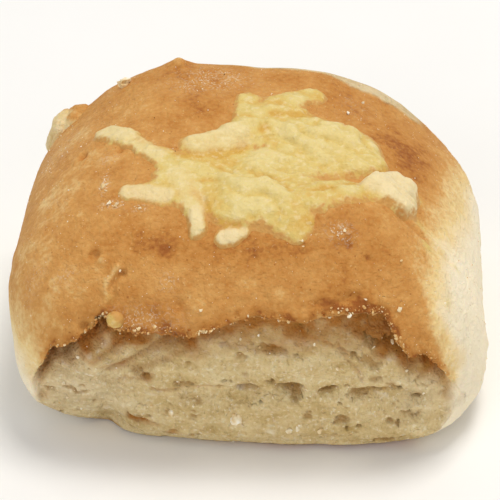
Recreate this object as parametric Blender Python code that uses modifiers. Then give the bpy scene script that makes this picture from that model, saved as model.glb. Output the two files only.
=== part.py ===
"""A cheese scone: a pull-apart bread bun with melted cheese baked onto its top.

Two solids, in metres, +Z up, resting on Z = 0 with the origin under the middle of the
bun. -Y is the front, where the bun was torn from its neighbour, and +Y the back, which
was torn too. +X is the pale side that grew against another bun, and -X the baked side.

The bun starts as a block cut into a grid. Each grid point is moved out to a rounded
body, the front and back are torn away below the edge of the crust, and the top gets its
swells and hollows. The cheese is a sheet cut to its outline, which is laid on the
finished bun with Shrinkwrap and thickened with Solidify.
"""

import itertools

import bmesh
import bpy
import numpy as np
from mathutils import Matrix

MM = 0.001

# The bun before it was torn: overall size and the height of its widest level.
WIDTH = 80.0 * MM
DEPTH = 79.0 * MM
HEIGHT = 42.0 * MM
WAIST = 15.0 * MM
BASE_SINK = 1.2 * MM  # how far the rounded underside would reach below the flat base
FRONT_SQUARENESS = 4.2  # superellipse power of the plan outline, 2 is an ellipse
BACK_SQUARENESS = 3.0
DOME_POWER = 2.3  # superellipse power of the upright outline above the waist
UNDERSIDE_POWER = 4.5
BASE_LEAN = 3.4 * MM  # how far the base stands to the right of the top

# How finely the block is cut.
CUTS_ACROSS = 40
CUTS_DEEP = 32
CUTS_OVER_LIP = 5
CUTS_TO_LIP = 9
CUTS_BELOW_WAIST = 8
CUTS_GATHER = 0.35  # how much the cuts draw together towards the block's edges

# Swells and hollows of the top, in millimetres: centre x, centre y, reach x, reach y,
# height.
TOP_SWELLS = {
    "back_left_peak": (-14.0, 21.0, 15.0, 11.0, 2.6),
    "peak_nub": (-14.5, 21.0, 2.6, 2.4, 1.2),
    "back_right_swell": (10.0, 23.0, 14.0, 9.0, 1.9),
    "back_right_shoulder": (30.0, 20.0, 13.0, 13.0, -1.8),
    "left_swell": (-25.0, -2.0, 12.0, 18.0, 1.0),
    "right_front_lobe": (18.0, -20.0, 15.0, 8.0, 2.6),
    "cheese_hollow": (7.0, -9.0, 15.0, 9.0, -2.8),
    "right_crease": (33.0, -14.0, 8.0, 3.0, -1.6),
    "back_right_strip": (22.0, 23.0, 9.0, 5.0, 1.0),
    "back_left_shoulder": (-31.0, 13.0, 8.0, 10.0, -1.4),
}
SWELLS_FROM = 14.0 * MM  # height above the waist over which the swells come in

# The foot of the right front, which stands out over the base.
FOOT_BULGE = 1.8 * MM
FOOT_BULGE_AT = (38.0 * MM, -20.0 * MM, 8.0 * MM)
FOOT_BULGE_REACH = 11.0 * MM

# The torn front. The crust hangs over it like a lip.
FRONT_TEAR = 35.5 * MM  # distance of the torn face from the middle of the bun
FRONT_TEAR_BOW = 3.0 * MM  # how much less that is at the two ends of the face
FRONT_HALF_WIDTH = 34.0 * MM
FRONT_LIP = 28.2 * MM  # height of the lip at the middle of the front
LIP_STEPS = {  # in millimetres: where along X the lip starts and ends a drop, the drop
    "left_shoulder": (3.5, -6.5, 3.0),
    "left_corner": (-20.5, -29.5, 4.5),
    "left_end": (-28.3, -34.5, 10.0),
    "right_shoulder": (24.6, 29.2, 6.4),
    "right_corner": (30.5, 41.0, 13.0),
}
LIP_ARCHES = {  # holes torn up into the lip, in millimetres: centre, reach, rise
    "left_hole": (-20.2, 1.1, 1.5),
    "right_hole": (22.5, 4.5, 0.9),
}
TEAR_LEFT = (-33.8 * MM, -31.8 * MM)  # where along X the tear of the front fades in
LIP_WAVE = 0.5 * MM  # small waves of the lip between those steps
LIP_ROW = 0.45  # level of the block, from 0 to 1, whose row of points becomes the lip
LIP_PASSES = 10  # rounds in which the place of that row is worked out
LIP_THICKNESS = 0.9 * MM  # height over which the crust turns in under the lip
LIP_GROOVE = 2.2 * MM  # extra depth of the tear close under the lip
GROOVE_BELOW_LIP = 2.0 * MM
GROOVE_REACH = 2.4 * MM
FOOT_TUCK = 1.6 * MM  # how far the torn face draws in at its foot
LEFT_FOOT_TUCK = 2.6 * MM  # how much more it does left of the foot's fold
LEFT_FOOT_ENDS = (-23.0 * MM, -15.0 * MM)

# Creases and caves of the torn face, in millimetres, each along a line:
# start x, start z, end x, end z, reach, depth. A minus depth is a lump.
FRONT_CREASES = {
    "corner_cave": (-29.0, 16.5, -26.5, 17.5, 2.6, 3.0),
    "corner_lobe": (-24.5, 18.0, -23.0, 16.5, 2.4, -1.6),
    "slanting_fold": (-20.5, 13.5, -9.0, 22.5, 1.8, 1.5),
    "foot_fold": (-21.0, 1.0, -20.5, 7.0, 2.2, 1.6),
    "long_crack": (-7.5, 11.0, 10.5, 13.2, 1.5, 1.4),
    "right_crack": (15.5, 13.6, 31.0, 11.2, 1.5, 1.3),
    "torn_patch": (21.5, 25.0, 25.0, 23.5, 3.0, 1.6),
}

# The torn back.
BACK_TEAR = 34.5 * MM
BACK_LIP = 24.0 * MM
BACK_STRIP_BULGE = 2.6 * MM  # torn crumb that stands out past the crust at the back right
BACK_STRIP_ENDS = (6.0 * MM, 30.5 * MM)
BACK_STRIP_LEVEL = 25.0 * MM
BACK_FLAP = 4.6 * MM  # crumb of the next bun still hanging on at the back left corner
BACK_FLAP_AT = (-33.0 * MM, 21.0 * MM)  # its x and z
BACK_FLAP_REACH = (8.0 * MM, 7.0 * MM)

# Relief of the surfaces.
CRUST_RELIEF = 0.35 * MM
CRUST_LUMP = 8.0 * MM
CRUMB_RELIEF = 0.9 * MM
CRUMB_LUMP = 9.0 * MM
CRUMB_LAYERING = (0.6, 0.5, 2.0)  # the crumb's lumps are flat layers, wider than high
BEAD_AT = (-18.4 * MM, -36.4 * MM, 27.6 * MM)  # a bead of cheese on the lip
BEAD_RADIUS = 1.7 * MM
BEAD_HEIGHT = 1.2 * MM

# The cheese. It is made of runs, each along a line, in millimetres:
# start x, start y, end x, end y, radius, thickness.
CHEESE_RUNS = {
    "main_pool": (4.5, -12.0, 10.0, -4.0, 8.6, 1.6),
    "back_pool": (9.5, 0.0, 17.0, -0.5, 6.2, 1.6),
    "left_bulge": (-0.5, -16.5, 4.5, -17.5, 5.2, 1.5),
    "right_lobe": (15.0, -6.5, 20.5, -4.5, 3.9, 1.9),
    "right_lump": (23.2, -12.2, 25.2, -9.6, 4.1, 2.5),
    "right_lump_foot": (24.0, -14.0, 25.8, -13.8, 3.2, 2.3),
    "right_lump_side": (21.2, -13.4, 22.8, -12.8, 2.9, 2.0),
    "right_flow": (12.0, -17.0, 17.6, -15.2, 4.7, 0.5),
    "left_field": (-11.0, -16.5, -5.0, -16.5, 5.0, 0.6),
    "front_field": (-1.0, -20.0, 7.0, -21.0, 5.4, 0.9),
    "front_corner": (7.5, -23.5, 9.8, -24.8, 2.4, 0.5),
    "strand_bed": (-8.6, -11.2, -1.1, -8.0, 4.2, 0.5),
    "back_strand": (-8.4, -5.4, -2.0, -2.4, 3.1, 1.4),
    "back_strand_root": (-2.5, -1.6, 3.0, 1.0, 3.4, 1.5),
    "back_arm": (-0.8, 1.5, -0.8, 8.6, 2.6, 1.0),
    "arm_root": (2.0, 3.0, 6.5, 4.5, 4.2, 1.0),
    "back_right_arm": (4.0, 8.5, 10.0, 12.4, 2.9, 1.1),
    "ribbon_end": (-24.4, 0.0, -20.5, -3.0, 2.5, 0.9),
    "ribbon": (-19.5, -4.3, -14.5, -9.0, 2.2, 0.7),
    "ribbon_root": (-13.5, -9.4, -10.6, -13.8, 2.7, 0.8),
    "ribbon_foot": (-10.4, -14.4, -7.0, -20.6, 2.5, 0.8),
    "left_dab": (-18.4, -18.3, -12.0, -19.2, 1.9, 0.5),
    "left_drip": (-6.6, -22.2, -6.2, -24.9, 1.9, 1.1),
    "front_blob": (-1.6, -25.8, -0.2, -25.6, 2.1, 1.3),
}
CHEESE_REACH = 31.0 * MM  # half the side of the square that the sheet is cut from
CHEESE_STEP = 1.32 * MM  # spacing of the sheet's grid
CHEESE_GAP = 0.3 * MM  # kept clear between bun and cheese
CHEESE_OUTLINE = 0.22  # cover at the sheet's edge, from 0 to 1
CHEESE_RAGGED = 0.07  # how much the cover wanders along the edge
CHEESE_RAGGED_LUMP = 4.5 * MM
CHEESE_EDGE = 0.35 * MM  # thickness of the sheet's edge
CHEESE_MOST = 3.6 * MM
CHEESE_MELT = 5  # power by which runs melt into each other: higher keeps them apart
CHEESE_ROUGH = 0.25
CHEESE_ROUGH_LUMP = 4.0 * MM
RIM_NUDGE = 0.05 * MM  # step for measuring the slope of the cover
RIM_PASSES = 4


def smooth_step(low, high, value):
    """0 at low, 1 at high, and an even S curve between them, also for low over high."""
    t = np.clip((value - low) / (high - low), 0.0, 1.0)
    return t * t * (3.0 - 2.0 * t)


def bell(value, centre, reach):
    """1 at the centre, falling away smoothly over the reach."""
    return np.exp(-(((value - centre) / reach) ** 2))


def lattice_noise(points, size, seed):
    """Smooth noise from -1 to 1 whose lumps are about `size` across."""
    scaled = points / size
    cell = np.floor(scaled).astype(np.int64)
    part = scaled - cell
    part = part**3 * (part * (part * 6.0 - 15.0) + 10.0)
    total = np.zeros(len(points))
    for corner in itertools.product((0, 1), repeat=3):
        at = (cell + np.array(corner)).astype(np.uint64) & np.uint64(0xFFFFFFFF)
        mixed = at[:, 0] * np.uint64(73856093) ^ at[:, 1] * np.uint64(19349663)
        mixed = mixed ^ at[:, 2] * np.uint64(83492791) ^ np.uint64(seed * 2654435761)
        mixed = (mixed ^ (mixed >> np.uint64(15))) * np.uint64(2246822519)
        mixed = (mixed ^ (mixed >> np.uint64(13))) & np.uint64(0xFFFFFF)
        value = mixed.astype(float) / 0xFFFFFF * 2.0 - 1.0
        weight = np.where(np.array(corner) == 1, part, 1.0 - part).prod(axis=1)
        total += value * weight
    return total


def layered_noise(points, size, seed, layers=3):
    """Noise with finer, weaker layers over it, from about -1 to 1."""
    total = np.zeros(len(points))
    for layer in range(layers):
        total += lattice_noise(points, size / 2.03**layer, seed + layer) / 2.0**layer
    return total / (2.0 - 0.5 ** (layers - 1))


def away_from_line(u, v, start, end):
    """Distance in a plane of points u, v from the line between two points."""
    along = np.array(end) - np.array(start)
    share = ((u - start[0]) * along[0] + (v - start[1]) * along[1]) / (along @ along)
    share = np.clip(share, 0.0, 1.0)
    return np.hypot(u - start[0] - share * along[0], v - start[1] - share * along[1])


def plan_size(across, deep):
    """How far out a point of the block lies in plan, 1 on the block's sides."""
    squareness = FRONT_SQUARENESS + (BACK_SQUARENESS - FRONT_SQUARENESS) * smooth_step(
        -0.8, 0.8, deep
    )
    return (np.abs(across) ** squareness + np.abs(deep) ** squareness) ** (1 / squareness)


def upright_power(high):
    """Power of the upright outline above and below the waist."""
    return np.where(high > 0, DOME_POWER, UNDERSIDE_POWER)


def upright_reach(high):
    """How far the body reaches above and below the waist."""
    return np.where(high > 0, HEIGHT - WAIST, WAIST + BASE_SINK)


def front_lip_height(x):
    """Height of the crust's ragged edge over the torn front, across the bun."""
    along = x / MM
    height = np.full_like(x, FRONT_LIP / MM)
    for start, end, drop in LIP_STEPS.values():
        height -= drop * smooth_step(start, end, along)
    for centre, reach, rise in LIP_ARCHES.values():
        height += rise * bell(along, centre, reach)
    line = np.column_stack((x, np.zeros_like(x), np.zeros_like(x)))
    return height * MM + LIP_WAVE * layered_noise(line, 9 * MM, 5)


def rows_on_lip(block):
    """Slides the block's rows up or down on the front, so that one lies along the lip."""
    across, deep, high = block.T
    plan = np.maximum(plan_size(across, deep), 0.1)
    side = across / plan * WIDTH / 2
    x = side
    for _ in range(LIP_PASSES):
        over_waist = front_lip_height(x) - WAIST
        share = over_waist / upright_reach(over_waist)
        power = upright_power(over_waist)
        narrow = (1 - np.abs(share) ** power) ** (1 / power)
        x = side * narrow + BASE_LEAN * (0.5 - (WAIST + over_waist) / HEIGHT)
    on_front = 1 - smooth_step(-1.0, -0.6, deep)
    level = LIP_ROW + (plan * share / narrow - LIP_ROW) * on_front
    below = (high + 1) * (level + 1) / (LIP_ROW + 1) - 1
    above = level + (high - LIP_ROW) * (1 - level) / (1 - LIP_ROW)
    return np.column_stack((across, deep, np.where(high < LIP_ROW, below, above)))


def rounded_body(block):
    """Moves points of the block's surface, from -1 to 1, out to the rounded bun."""
    across, deep, high = block.T
    power = upright_power(high)
    scale = (plan_size(across, deep) ** power + np.abs(high) ** power) ** (-1 / power)
    z = WAIST + high * scale * upright_reach(high)
    x = across * scale * WIDTH / 2 + BASE_LEAN * (0.5 - z / HEIGHT)
    return np.column_stack((x, deep * scale * DEPTH / 2, z))


def bulge_foot(points):
    """Pushes the right front foot out sideways."""
    away = np.linalg.norm(points - np.array(FOOT_BULGE_AT), axis=1) / FOOT_BULGE_REACH
    moved = points.copy()
    moved[:, 0] += FOOT_BULGE * np.exp(-(away**2))
    return moved


def tear_front(points):
    """Cuts the front back to the torn crumb below the lip."""
    x, y, z = points.T
    lip = front_lip_height(x)
    torn_y = FRONT_TEAR_BOW * (x / FRONT_HALF_WIDTH) ** 2 - FRONT_TEAR
    torn_y += LIP_GROOVE * bell(z, lip - GROOVE_BELOW_LIP, GROOVE_REACH)
    left = 1 - smooth_step(*LEFT_FOOT_ENDS, x)
    torn_y += FOOT_TUCK * (1 - smooth_step(0, 5 * MM, z))
    torn_y += LEFT_FOOT_TUCK * left * (1 - smooth_step(0, 12 * MM, z))
    torn_y += CRUMB_RELIEF * layered_noise(points * CRUMB_LAYERING, CRUMB_LUMP, 11)
    for start_x, start_z, end_x, end_z, reach, depth in FRONT_CREASES.values():
        away = away_from_line(x / MM, z / MM, (start_x, start_z), (end_x, end_z))
        torn_y += depth * MM * bell(away, 0, reach)
    torn = 1.0 - smooth_step(lip - LIP_THICKNESS, lip - 0.1 * LIP_THICKNESS, z)
    torn = torn * smooth_step(*TEAR_LEFT, x)
    cut_y = np.maximum(y, torn_y)
    return np.column_stack((x, y + (cut_y - y) * torn, z))


def tear_back(points):
    """Cuts the back to torn crumb, with a strip and a corner flap that stand out."""
    x, y, z = points.T
    strip_start, strip_end = BACK_STRIP_ENDS
    strip = smooth_step(strip_start - 4 * MM, strip_start + 4 * MM, x)
    strip = strip * (1 - smooth_step(strip_end - 4 * MM, strip_end + 4 * MM, x))
    torn_y = BACK_TEAR + BACK_STRIP_BULGE * strip * bell(z, BACK_STRIP_LEVEL, 7 * MM)
    torn_y -= CRUMB_RELIEF * layered_noise(points * CRUMB_LAYERING, CRUMB_LUMP, 23)
    torn = 1.0 - smooth_step(BACK_LIP - LIP_THICKNESS, BACK_LIP + LIP_THICKNESS, z)
    y = y + (np.minimum(y, torn_y) - y) * torn
    away = bell(x, BACK_FLAP_AT[0], BACK_FLAP_REACH[0])
    away = away * bell(z, BACK_FLAP_AT[1], BACK_FLAP_REACH[1])
    flap = BACK_FLAP * away * smooth_step(12 * MM, 26 * MM, y)
    return np.column_stack((x - 0.7 * flap, y + 0.7 * flap, z))


def add_swells(points):
    """Gives the top its swells, its crease and the hollow that holds the cheese."""
    x, y, z = points.T
    lift = np.zeros(len(points))
    for centre_x, centre_y, reach_x, reach_y, height in TOP_SWELLS.values():
        bump = bell(x / MM, centre_x, reach_x) * bell(y / MM, centre_y, reach_y)
        lift += height * MM * bump
    on_top = smooth_step(WAIST, WAIST + SWELLS_FROM, z)
    return np.column_stack((x, y, z + lift * on_top))


def surface_relief(points, normals):
    """Unevenness of the baked crust, and the bead of cheese on the lip."""
    relief = CRUST_RELIEF * layered_noise(points, CRUST_LUMP, 31)
    relief = relief * smooth_step(0.5 * MM, 4 * MM, points[:, 2])
    away = np.linalg.norm(points - np.array(BEAD_AT), axis=1)
    relief += BEAD_HEIGHT * bell(away, 0, BEAD_RADIUS)
    return points + normals * relief[:, None]


def place_all(block, places):
    """Moves every vertex to its place."""
    for vertex, place in zip(block.verts, places):
        vertex.co = place
    block.normal_update()


def sculpt(block):
    """Moves the points of the cut block to the surface of the bun."""
    start = np.array([vertex.co for vertex in block.verts])
    body = bulge_foot(rounded_body(rows_on_lip(start)))
    points = add_swells(tear_back(tear_front(body)))
    place_all(block, points)
    points = surface_relief(points, np.array([vertex.normal for vertex in block.verts]))
    points[:, 2] = np.maximum(points[:, 2], 0.0)
    place_all(block, points)


def cut_levels(count):
    """Cutting levels from -1 to 1, drawn together towards the ends."""
    level = np.linspace(-1, 1, count + 1)[1:-1]
    return level + CUTS_GATHER * np.sin(np.pi * level) / np.pi


def cut_block(block, normal, levels):
    """Cuts every face of the block by planes at these levels along one direction."""
    for level in levels:
        bmesh.ops.bisect_plane(
            block,
            geom=block.verts[:] + block.edges[:] + block.faces[:],
            dist=1e-7,
            plane_co=[level * part for part in normal],
            plane_no=normal,
        )


def flatten_base(block):
    """Joins the faces that lie flat on the ground into one."""
    flat = [face for face in block.faces if all(v.co.z < 1e-6 for v in face.verts)]
    bmesh.ops.dissolve_faces(block, faces=flat, use_verts=True)


def mesh_from(shape, name):
    """A named mesh from a bmesh, which is freed."""
    mesh = bpy.data.meshes.new(name)
    shape.to_mesh(mesh)
    shape.free()
    return mesh


def make_bread():
    """The bun: a gridded block sculpted into a torn bun."""
    block = bmesh.new()
    bmesh.ops.create_cube(block, size=2.0)
    cut_block(block, (1, 0, 0), cut_levels(CUTS_ACROSS))
    cut_block(block, (0, 1, 0), cut_levels(CUTS_DEEP))
    below = np.linspace(-1, 0, CUTS_BELOW_WAIST + 1)[1:-1]
    to_lip = np.linspace(0, LIP_ROW, CUTS_TO_LIP + 1)
    to_top = np.linspace(LIP_ROW, 1, CUTS_OVER_LIP + 1)[1:-1]
    cut_block(block, (0, 0, 1), np.concatenate((below, to_lip, to_top)))
    sculpt(block)
    flatten_base(block)
    return bpy.data.objects.new("scone_bread", mesh_from(block, "scone_bread"))


def cheese_cover(x, y):
    """How far the cheese covers each point in plan: its edge is at CHEESE_OUTLINE."""
    spread = 1.0 - CHEESE_OUTLINE**0.5
    bare = np.ones_like(x)
    for start_x, start_y, end_x, end_y, radius, _ in CHEESE_RUNS.values():
        away = away_from_line(x / MM, y / MM, (start_x, start_y), (end_x, end_y))
        bare *= 1.0 - np.clip(1.0 - spread * (away / radius) ** 2, 0.0, 1.0) ** 2
    flat = np.column_stack((x, y, np.zeros_like(x)))
    return 1.0 - bare + CHEESE_RAGGED * layered_noise(flat, CHEESE_RAGGED_LUMP, 41)


def cheese_thickness(x, y):
    """Thickness of the cheese at each point in plan, its runs melted together."""
    spread = 1.0 - CHEESE_OUTLINE**0.5
    total = np.zeros_like(x)
    for start_x, start_y, end_x, end_y, radius, thickness in CHEESE_RUNS.values():
        away = away_from_line(x / MM, y / MM, (start_x, start_y), (end_x, end_y))
        weight = np.clip(1.0 - spread * (away / radius) ** 2, 0.0, 1.0) ** 2
        crown = smooth_step(CHEESE_OUTLINE, 0.85, weight)
        total += (thickness * MM * crown) ** CHEESE_MELT
    flat = np.column_stack((x, y, np.zeros_like(x)))
    rough = 1.0 + CHEESE_ROUGH * layered_noise(flat, CHEESE_ROUGH_LUMP, 43)
    return CHEESE_EDGE + total ** (1 / CHEESE_MELT) * rough


def pull_to_outline(x, y):
    """Slides points of the sheet's rim along the slope of the cover, onto its edge."""
    for _ in range(RIM_PASSES):
        here = cheese_cover(x, y)
        slope_x = (cheese_cover(x + RIM_NUDGE, y) - here) / RIM_NUDGE
        slope_y = (cheese_cover(x, y + RIM_NUDGE) - here) / RIM_NUDGE
        steep = np.maximum(np.hypot(slope_x, slope_y), 1e-6)
        step = (CHEESE_OUTLINE - here) / steep
        step = np.clip(step, -0.3 * CHEESE_STEP, 0.3 * CHEESE_STEP)
        x = x + step * slope_x / steep
        y = y + step * slope_y / steep
    return x, y


def stretch_with(face, among):
    """The faces of a set that are joined to this one, and this one."""
    found = {face}
    waiting = [face]
    while waiting:
        edges = waiting.pop().edges
        near = {other for edge in edges for other in edge.link_faces}
        fresh = (near & among) - found
        found |= fresh
        waiting.extend(fresh)
    return found


def keep_largest(sheet):
    """Deletes all faces but the largest connected stretch of them."""
    left = set(sheet.faces)
    largest = set()
    while left:
        stretch = stretch_with(next(iter(left)), left)
        left -= stretch
        largest = max(largest, stretch, key=len)
    loose = [face for face in sheet.faces if face not in largest]
    bmesh.ops.delete(sheet, geom=loose, context="FACES")


def cut_to_cheese(sheet):
    """Cuts the flat sheet to the outline of the cheese."""
    middles = np.array([face.calc_center_median() for face in sheet.faces])
    covered = cheese_cover(middles[:, 0], middles[:, 1]) > CHEESE_OUTLINE
    bare = [face for face, cover in zip(sheet.faces, covered) if not cover]
    bmesh.ops.delete(sheet, geom=bare, context="FACES")
    pinched = [v for v in sheet.verts if sum(e.is_boundary for e in v.link_edges) > 2]
    bmesh.ops.delete(sheet, geom=pinched, context="VERTS")
    ears = [face for face in sheet.faces if sum(e.is_boundary for e in face.edges) > 2]
    bmesh.ops.delete(sheet, geom=ears, context="FACES")
    keep_largest(sheet)
    rim = [vertex for vertex in sheet.verts if vertex.is_boundary]
    places = np.array([vertex.co for vertex in rim])
    for vertex, x, y in zip(rim, *pull_to_outline(places[:, 0], places[:, 1])):
        vertex.co.x = x
        vertex.co.y = y


def lay_and_thicken(cheese, bread):
    """Modifiers that lay the sheet on the bun and give it its thickness."""
    places = np.array([vertex.co for vertex in cheese.data.vertices])
    shares = cheese_thickness(places[:, 0], places[:, 1]) / CHEESE_MOST
    weights = cheese.vertex_groups.new(name="thickness")
    for index, share in enumerate(np.minimum(shares, 1.0)):
        weights.add([index], share, "REPLACE")
    laid = cheese.modifiers.new("laid_on_bun", "SHRINKWRAP")
    laid.target = bread
    laid.wrap_method = "PROJECT"
    laid.use_project_z = True
    laid.use_negative_direction = True
    laid.use_positive_direction = False
    laid.wrap_mode = "ABOVE_SURFACE"
    laid.offset = CHEESE_GAP
    thick = cheese.modifiers.new("thickened", "SOLIDIFY")
    thick.thickness = CHEESE_MOST
    thick.offset = 1.0
    thick.vertex_group = weights.name


def make_cheese(bread):
    """The melted cheese, lying on the bun."""
    sheet = bmesh.new()
    cells = round(2 * CHEESE_REACH / CHEESE_STEP)
    bmesh.ops.create_grid(sheet, x_segments=cells, y_segments=cells, size=CHEESE_REACH)
    bmesh.ops.translate(sheet, verts=sheet.verts, vec=(0, 0, 2 * HEIGHT))
    cut_to_cheese(sheet)
    cheese = bpy.data.objects.new("melted_cheese", mesh_from(sheet, "melted_cheese"))
    lay_and_thicken(cheese, bread)
    return cheese


def stand_over_origin(bread, cheese):
    """Moves both sideways together, so that the middle of the bun is over the origin."""
    places = np.array([vertex.co for vertex in bread.data.vertices])
    middle = (places.min(axis=0) + places.max(axis=0)) / 2
    for thing in (bread, cheese):
        thing.data.transform(Matrix.Translation((-middle[0], -middle[1], 0.0)))


def finish_as(thing, name, colour, roughness):
    """Gives an object a food material of one colour, and smooth shading."""
    material = bpy.data.materials.new(name)
    material.use_nodes = True
    surface = material.node_tree.nodes["Principled BSDF"]
    surface.inputs["Base Color"].default_value = (*colour, 1.0)
    surface.inputs["Roughness"].default_value = roughness
    surface.inputs["Metallic"].default_value = 0.0
    thing.data.materials.append(material)
    thing.data.shade_smooth()


def main():
    """Builds both solids in a collection of their own."""
    for thing in list(bpy.data.objects):
        bpy.data.objects.remove(thing)
    scone = bpy.data.collections.new("cheese_scone")
    bpy.context.scene.collection.children.link(scone)
    bread = make_bread()
    scone.objects.link(bread)
    finish_as(bread, "baked_crust", (0.56, 0.30, 0.10), 0.75)
    cheese = make_cheese(bread)
    scone.objects.link(cheese)
    finish_as(cheese, "melted_cheese", (0.75, 0.60, 0.25), 0.4)
    stand_over_origin(bread, cheese)


if __name__ == "__main__":
    main()
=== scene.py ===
"""The looks of a cheese scone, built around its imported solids.

The bun and its cheese are made again at a fine grain, in the form of their solids, and
dressed: baked crust, torn crumb and melted cheese. Crumbs and flour are scattered over
them by Geometry Nodes. -Y is the torn front, +X the pale side, and -X the baked side.
"""

import itertools
import logging
import math
from dataclasses import dataclass, field
from enum import Enum
from functools import partial
from typing import Any

import bmesh
import bpy
import numpy as np
from mathutils import Matrix, Vector


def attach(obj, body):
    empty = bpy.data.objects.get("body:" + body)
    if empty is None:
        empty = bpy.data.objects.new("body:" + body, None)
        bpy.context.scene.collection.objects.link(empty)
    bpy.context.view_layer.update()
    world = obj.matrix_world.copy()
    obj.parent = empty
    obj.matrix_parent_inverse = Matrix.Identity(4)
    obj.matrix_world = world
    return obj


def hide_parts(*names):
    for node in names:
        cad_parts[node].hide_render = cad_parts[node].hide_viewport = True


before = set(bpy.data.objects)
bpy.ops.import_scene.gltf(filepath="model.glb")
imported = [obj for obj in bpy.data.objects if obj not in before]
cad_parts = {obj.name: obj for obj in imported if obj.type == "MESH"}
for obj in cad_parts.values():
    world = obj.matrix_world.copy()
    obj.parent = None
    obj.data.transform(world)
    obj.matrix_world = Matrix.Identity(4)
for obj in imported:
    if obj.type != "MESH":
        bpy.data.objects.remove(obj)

Array = np.ndarray
Line = tuple[float, ...]
Rows = dict[str, Line]

MM = 0.001

# From the middle of the block that the bun is shaped from to the middle of the bun.
TO_ORIGIN = Vector((-1.19 * MM, -0.01 * MM, 0.0))

logging.basicConfig(level=logging.INFO, format="%(message)s")
log = logging.getLogger("cheese_scone")


def table(**rows: Any) -> Any:
    """A dataclass field that holds these named rows."""
    return field(default_factory=lambda: dict(rows))


# ---------------------------------------------------------------- fields and noise


def smooth_step(low: float | Array, high: float | Array, value: Array) -> Array:
    """The even S curve from 0 at low to 1 at high. Low may be the larger of the two."""
    t = np.clip((value - low) / (high - low), 0.0, 1.0)
    return t * t * (3.0 - 2.0 * t)


def bell(value: Array, centre: float | Array, reach: float | Array) -> Array:
    """Falls smoothly from 1 at the centre to about a third at this reach from it."""
    return np.exp(-(((value - centre) / reach) ** 2))


def lattice_noise(points: Array, size: float, seed: int) -> Array:
    """Smooth noise from random values on a lattice.

    Args:
        points: Where to read it, one row for each point.
        size: Width of a lump.
        seed: Which noise.

    Returns:
        A value from -1 to 1 for each point.
    """
    scaled = points / size
    cell = np.floor(scaled).astype(np.int64)
    part = scaled - cell
    part = part**3 * (part * (part * 6.0 - 15.0) + 10.0)
    total = np.zeros(len(points))
    for corner in itertools.product((0, 1), repeat=3):
        at = (cell + np.array(corner)).astype(np.uint64) & np.uint64(0xFFFFFFFF)
        mixed = at[:, 0] * np.uint64(73856093) ^ at[:, 1] * np.uint64(19349663)
        mixed = mixed ^ at[:, 2] * np.uint64(83492791) ^ np.uint64(seed * 2654435761)
        mixed = (mixed ^ (mixed >> np.uint64(15))) * np.uint64(2246822519)
        mixed = (mixed ^ (mixed >> np.uint64(13))) & np.uint64(0xFFFFFF)
        value = mixed.astype(float) / 0xFFFFFF * 2.0 - 1.0
        weight = np.where(np.array(corner) == 1, part, 1.0 - part).prod(axis=1)
        total += value * weight
    return total


def layered_noise(points: Array, size: float, seed: int, layers: int) -> Array:
    """Noise with finer, weaker layers over it.

    Args:
        points: Where to read it, one row for each point.
        size: Width of the largest lumps.
        seed: Which noise.
        layers: How many layers there are.

    Returns:
        A value from about -1 to 1 for each point.
    """
    total = np.zeros(len(points))
    for layer in range(layers):
        total += lattice_noise(points, size / 2.03**layer, seed + layer) / 2.0**layer
    return total / (2.0 - 0.5 ** (layers - 1))


@dataclass(frozen=True)
class Noise:
    """Layered noise of a given height, with the width of its lumps in millimetres."""

    height: float
    width_mm: float
    seed: int
    layers: int = 3

    def at(self, points: Array, shift: int = 0) -> Array:
        """The noise at each point, with this shift added to its seed."""
        size, seed = self.width_mm * MM, self.seed + shift
        return self.height * layered_noise(points, size, seed, self.layers)


def lying(x: Array, y: Array) -> Array:
    """Points of the plane z = 0, one row for each."""
    return np.column_stack((x, y, np.zeros_like(x)))


def upright(x: Array, z: Array) -> Array:
    """Points of the plane y = 0, one row for each."""
    return np.column_stack((x, np.zeros_like(x), z))


def away_from_line(u: Array, v: Array, start: Line, end: Line) -> Array:
    """Distance in a plane from the line between two points.

    Args:
        u: First coordinate of each point.
        v: Second coordinate of each point.
        start: Where the line starts.
        end: Where the line ends.

    Returns:
        The distance of each point.
    """
    along = np.array(end) - np.array(start)
    share = ((u - start[0]) * along[0] + (v - start[1]) * along[1]) / (along @ along)
    share = np.clip(share, 0.0, 1.0)
    return np.hypot(u - start[0] - share * along[0], v - start[1] - share * along[1])


def soft_patches(u: Array, v: Array, patches: Rows) -> Array:
    """The sum of soft patches in a plane.

    Args:
        u: First coordinate of each place, in metres.
        v: Second coordinate of each place, in metres.
        patches: In millimetres: centre u and v, reach along u and v, then the amount.

    Returns:
        The sum at each place.
    """
    total = np.zeros(len(u))
    for centre_u, centre_v, reach_u, reach_v, amount in patches.values():
        total += amount * bell(u / MM, centre_u, reach_u) * bell(v / MM, centre_v, reach_v)
    return total


# ---------------------------------------------------------------- meshes


def quads_of_grid(number: Array) -> Array:
    """The four corners of each quad between the numbered points of a grid."""
    corners = (number[:-1, :-1], number[1:, :-1], number[1:, 1:], number[:-1, 1:])
    return np.stack([corner.ravel() for corner in corners], axis=1)


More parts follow.
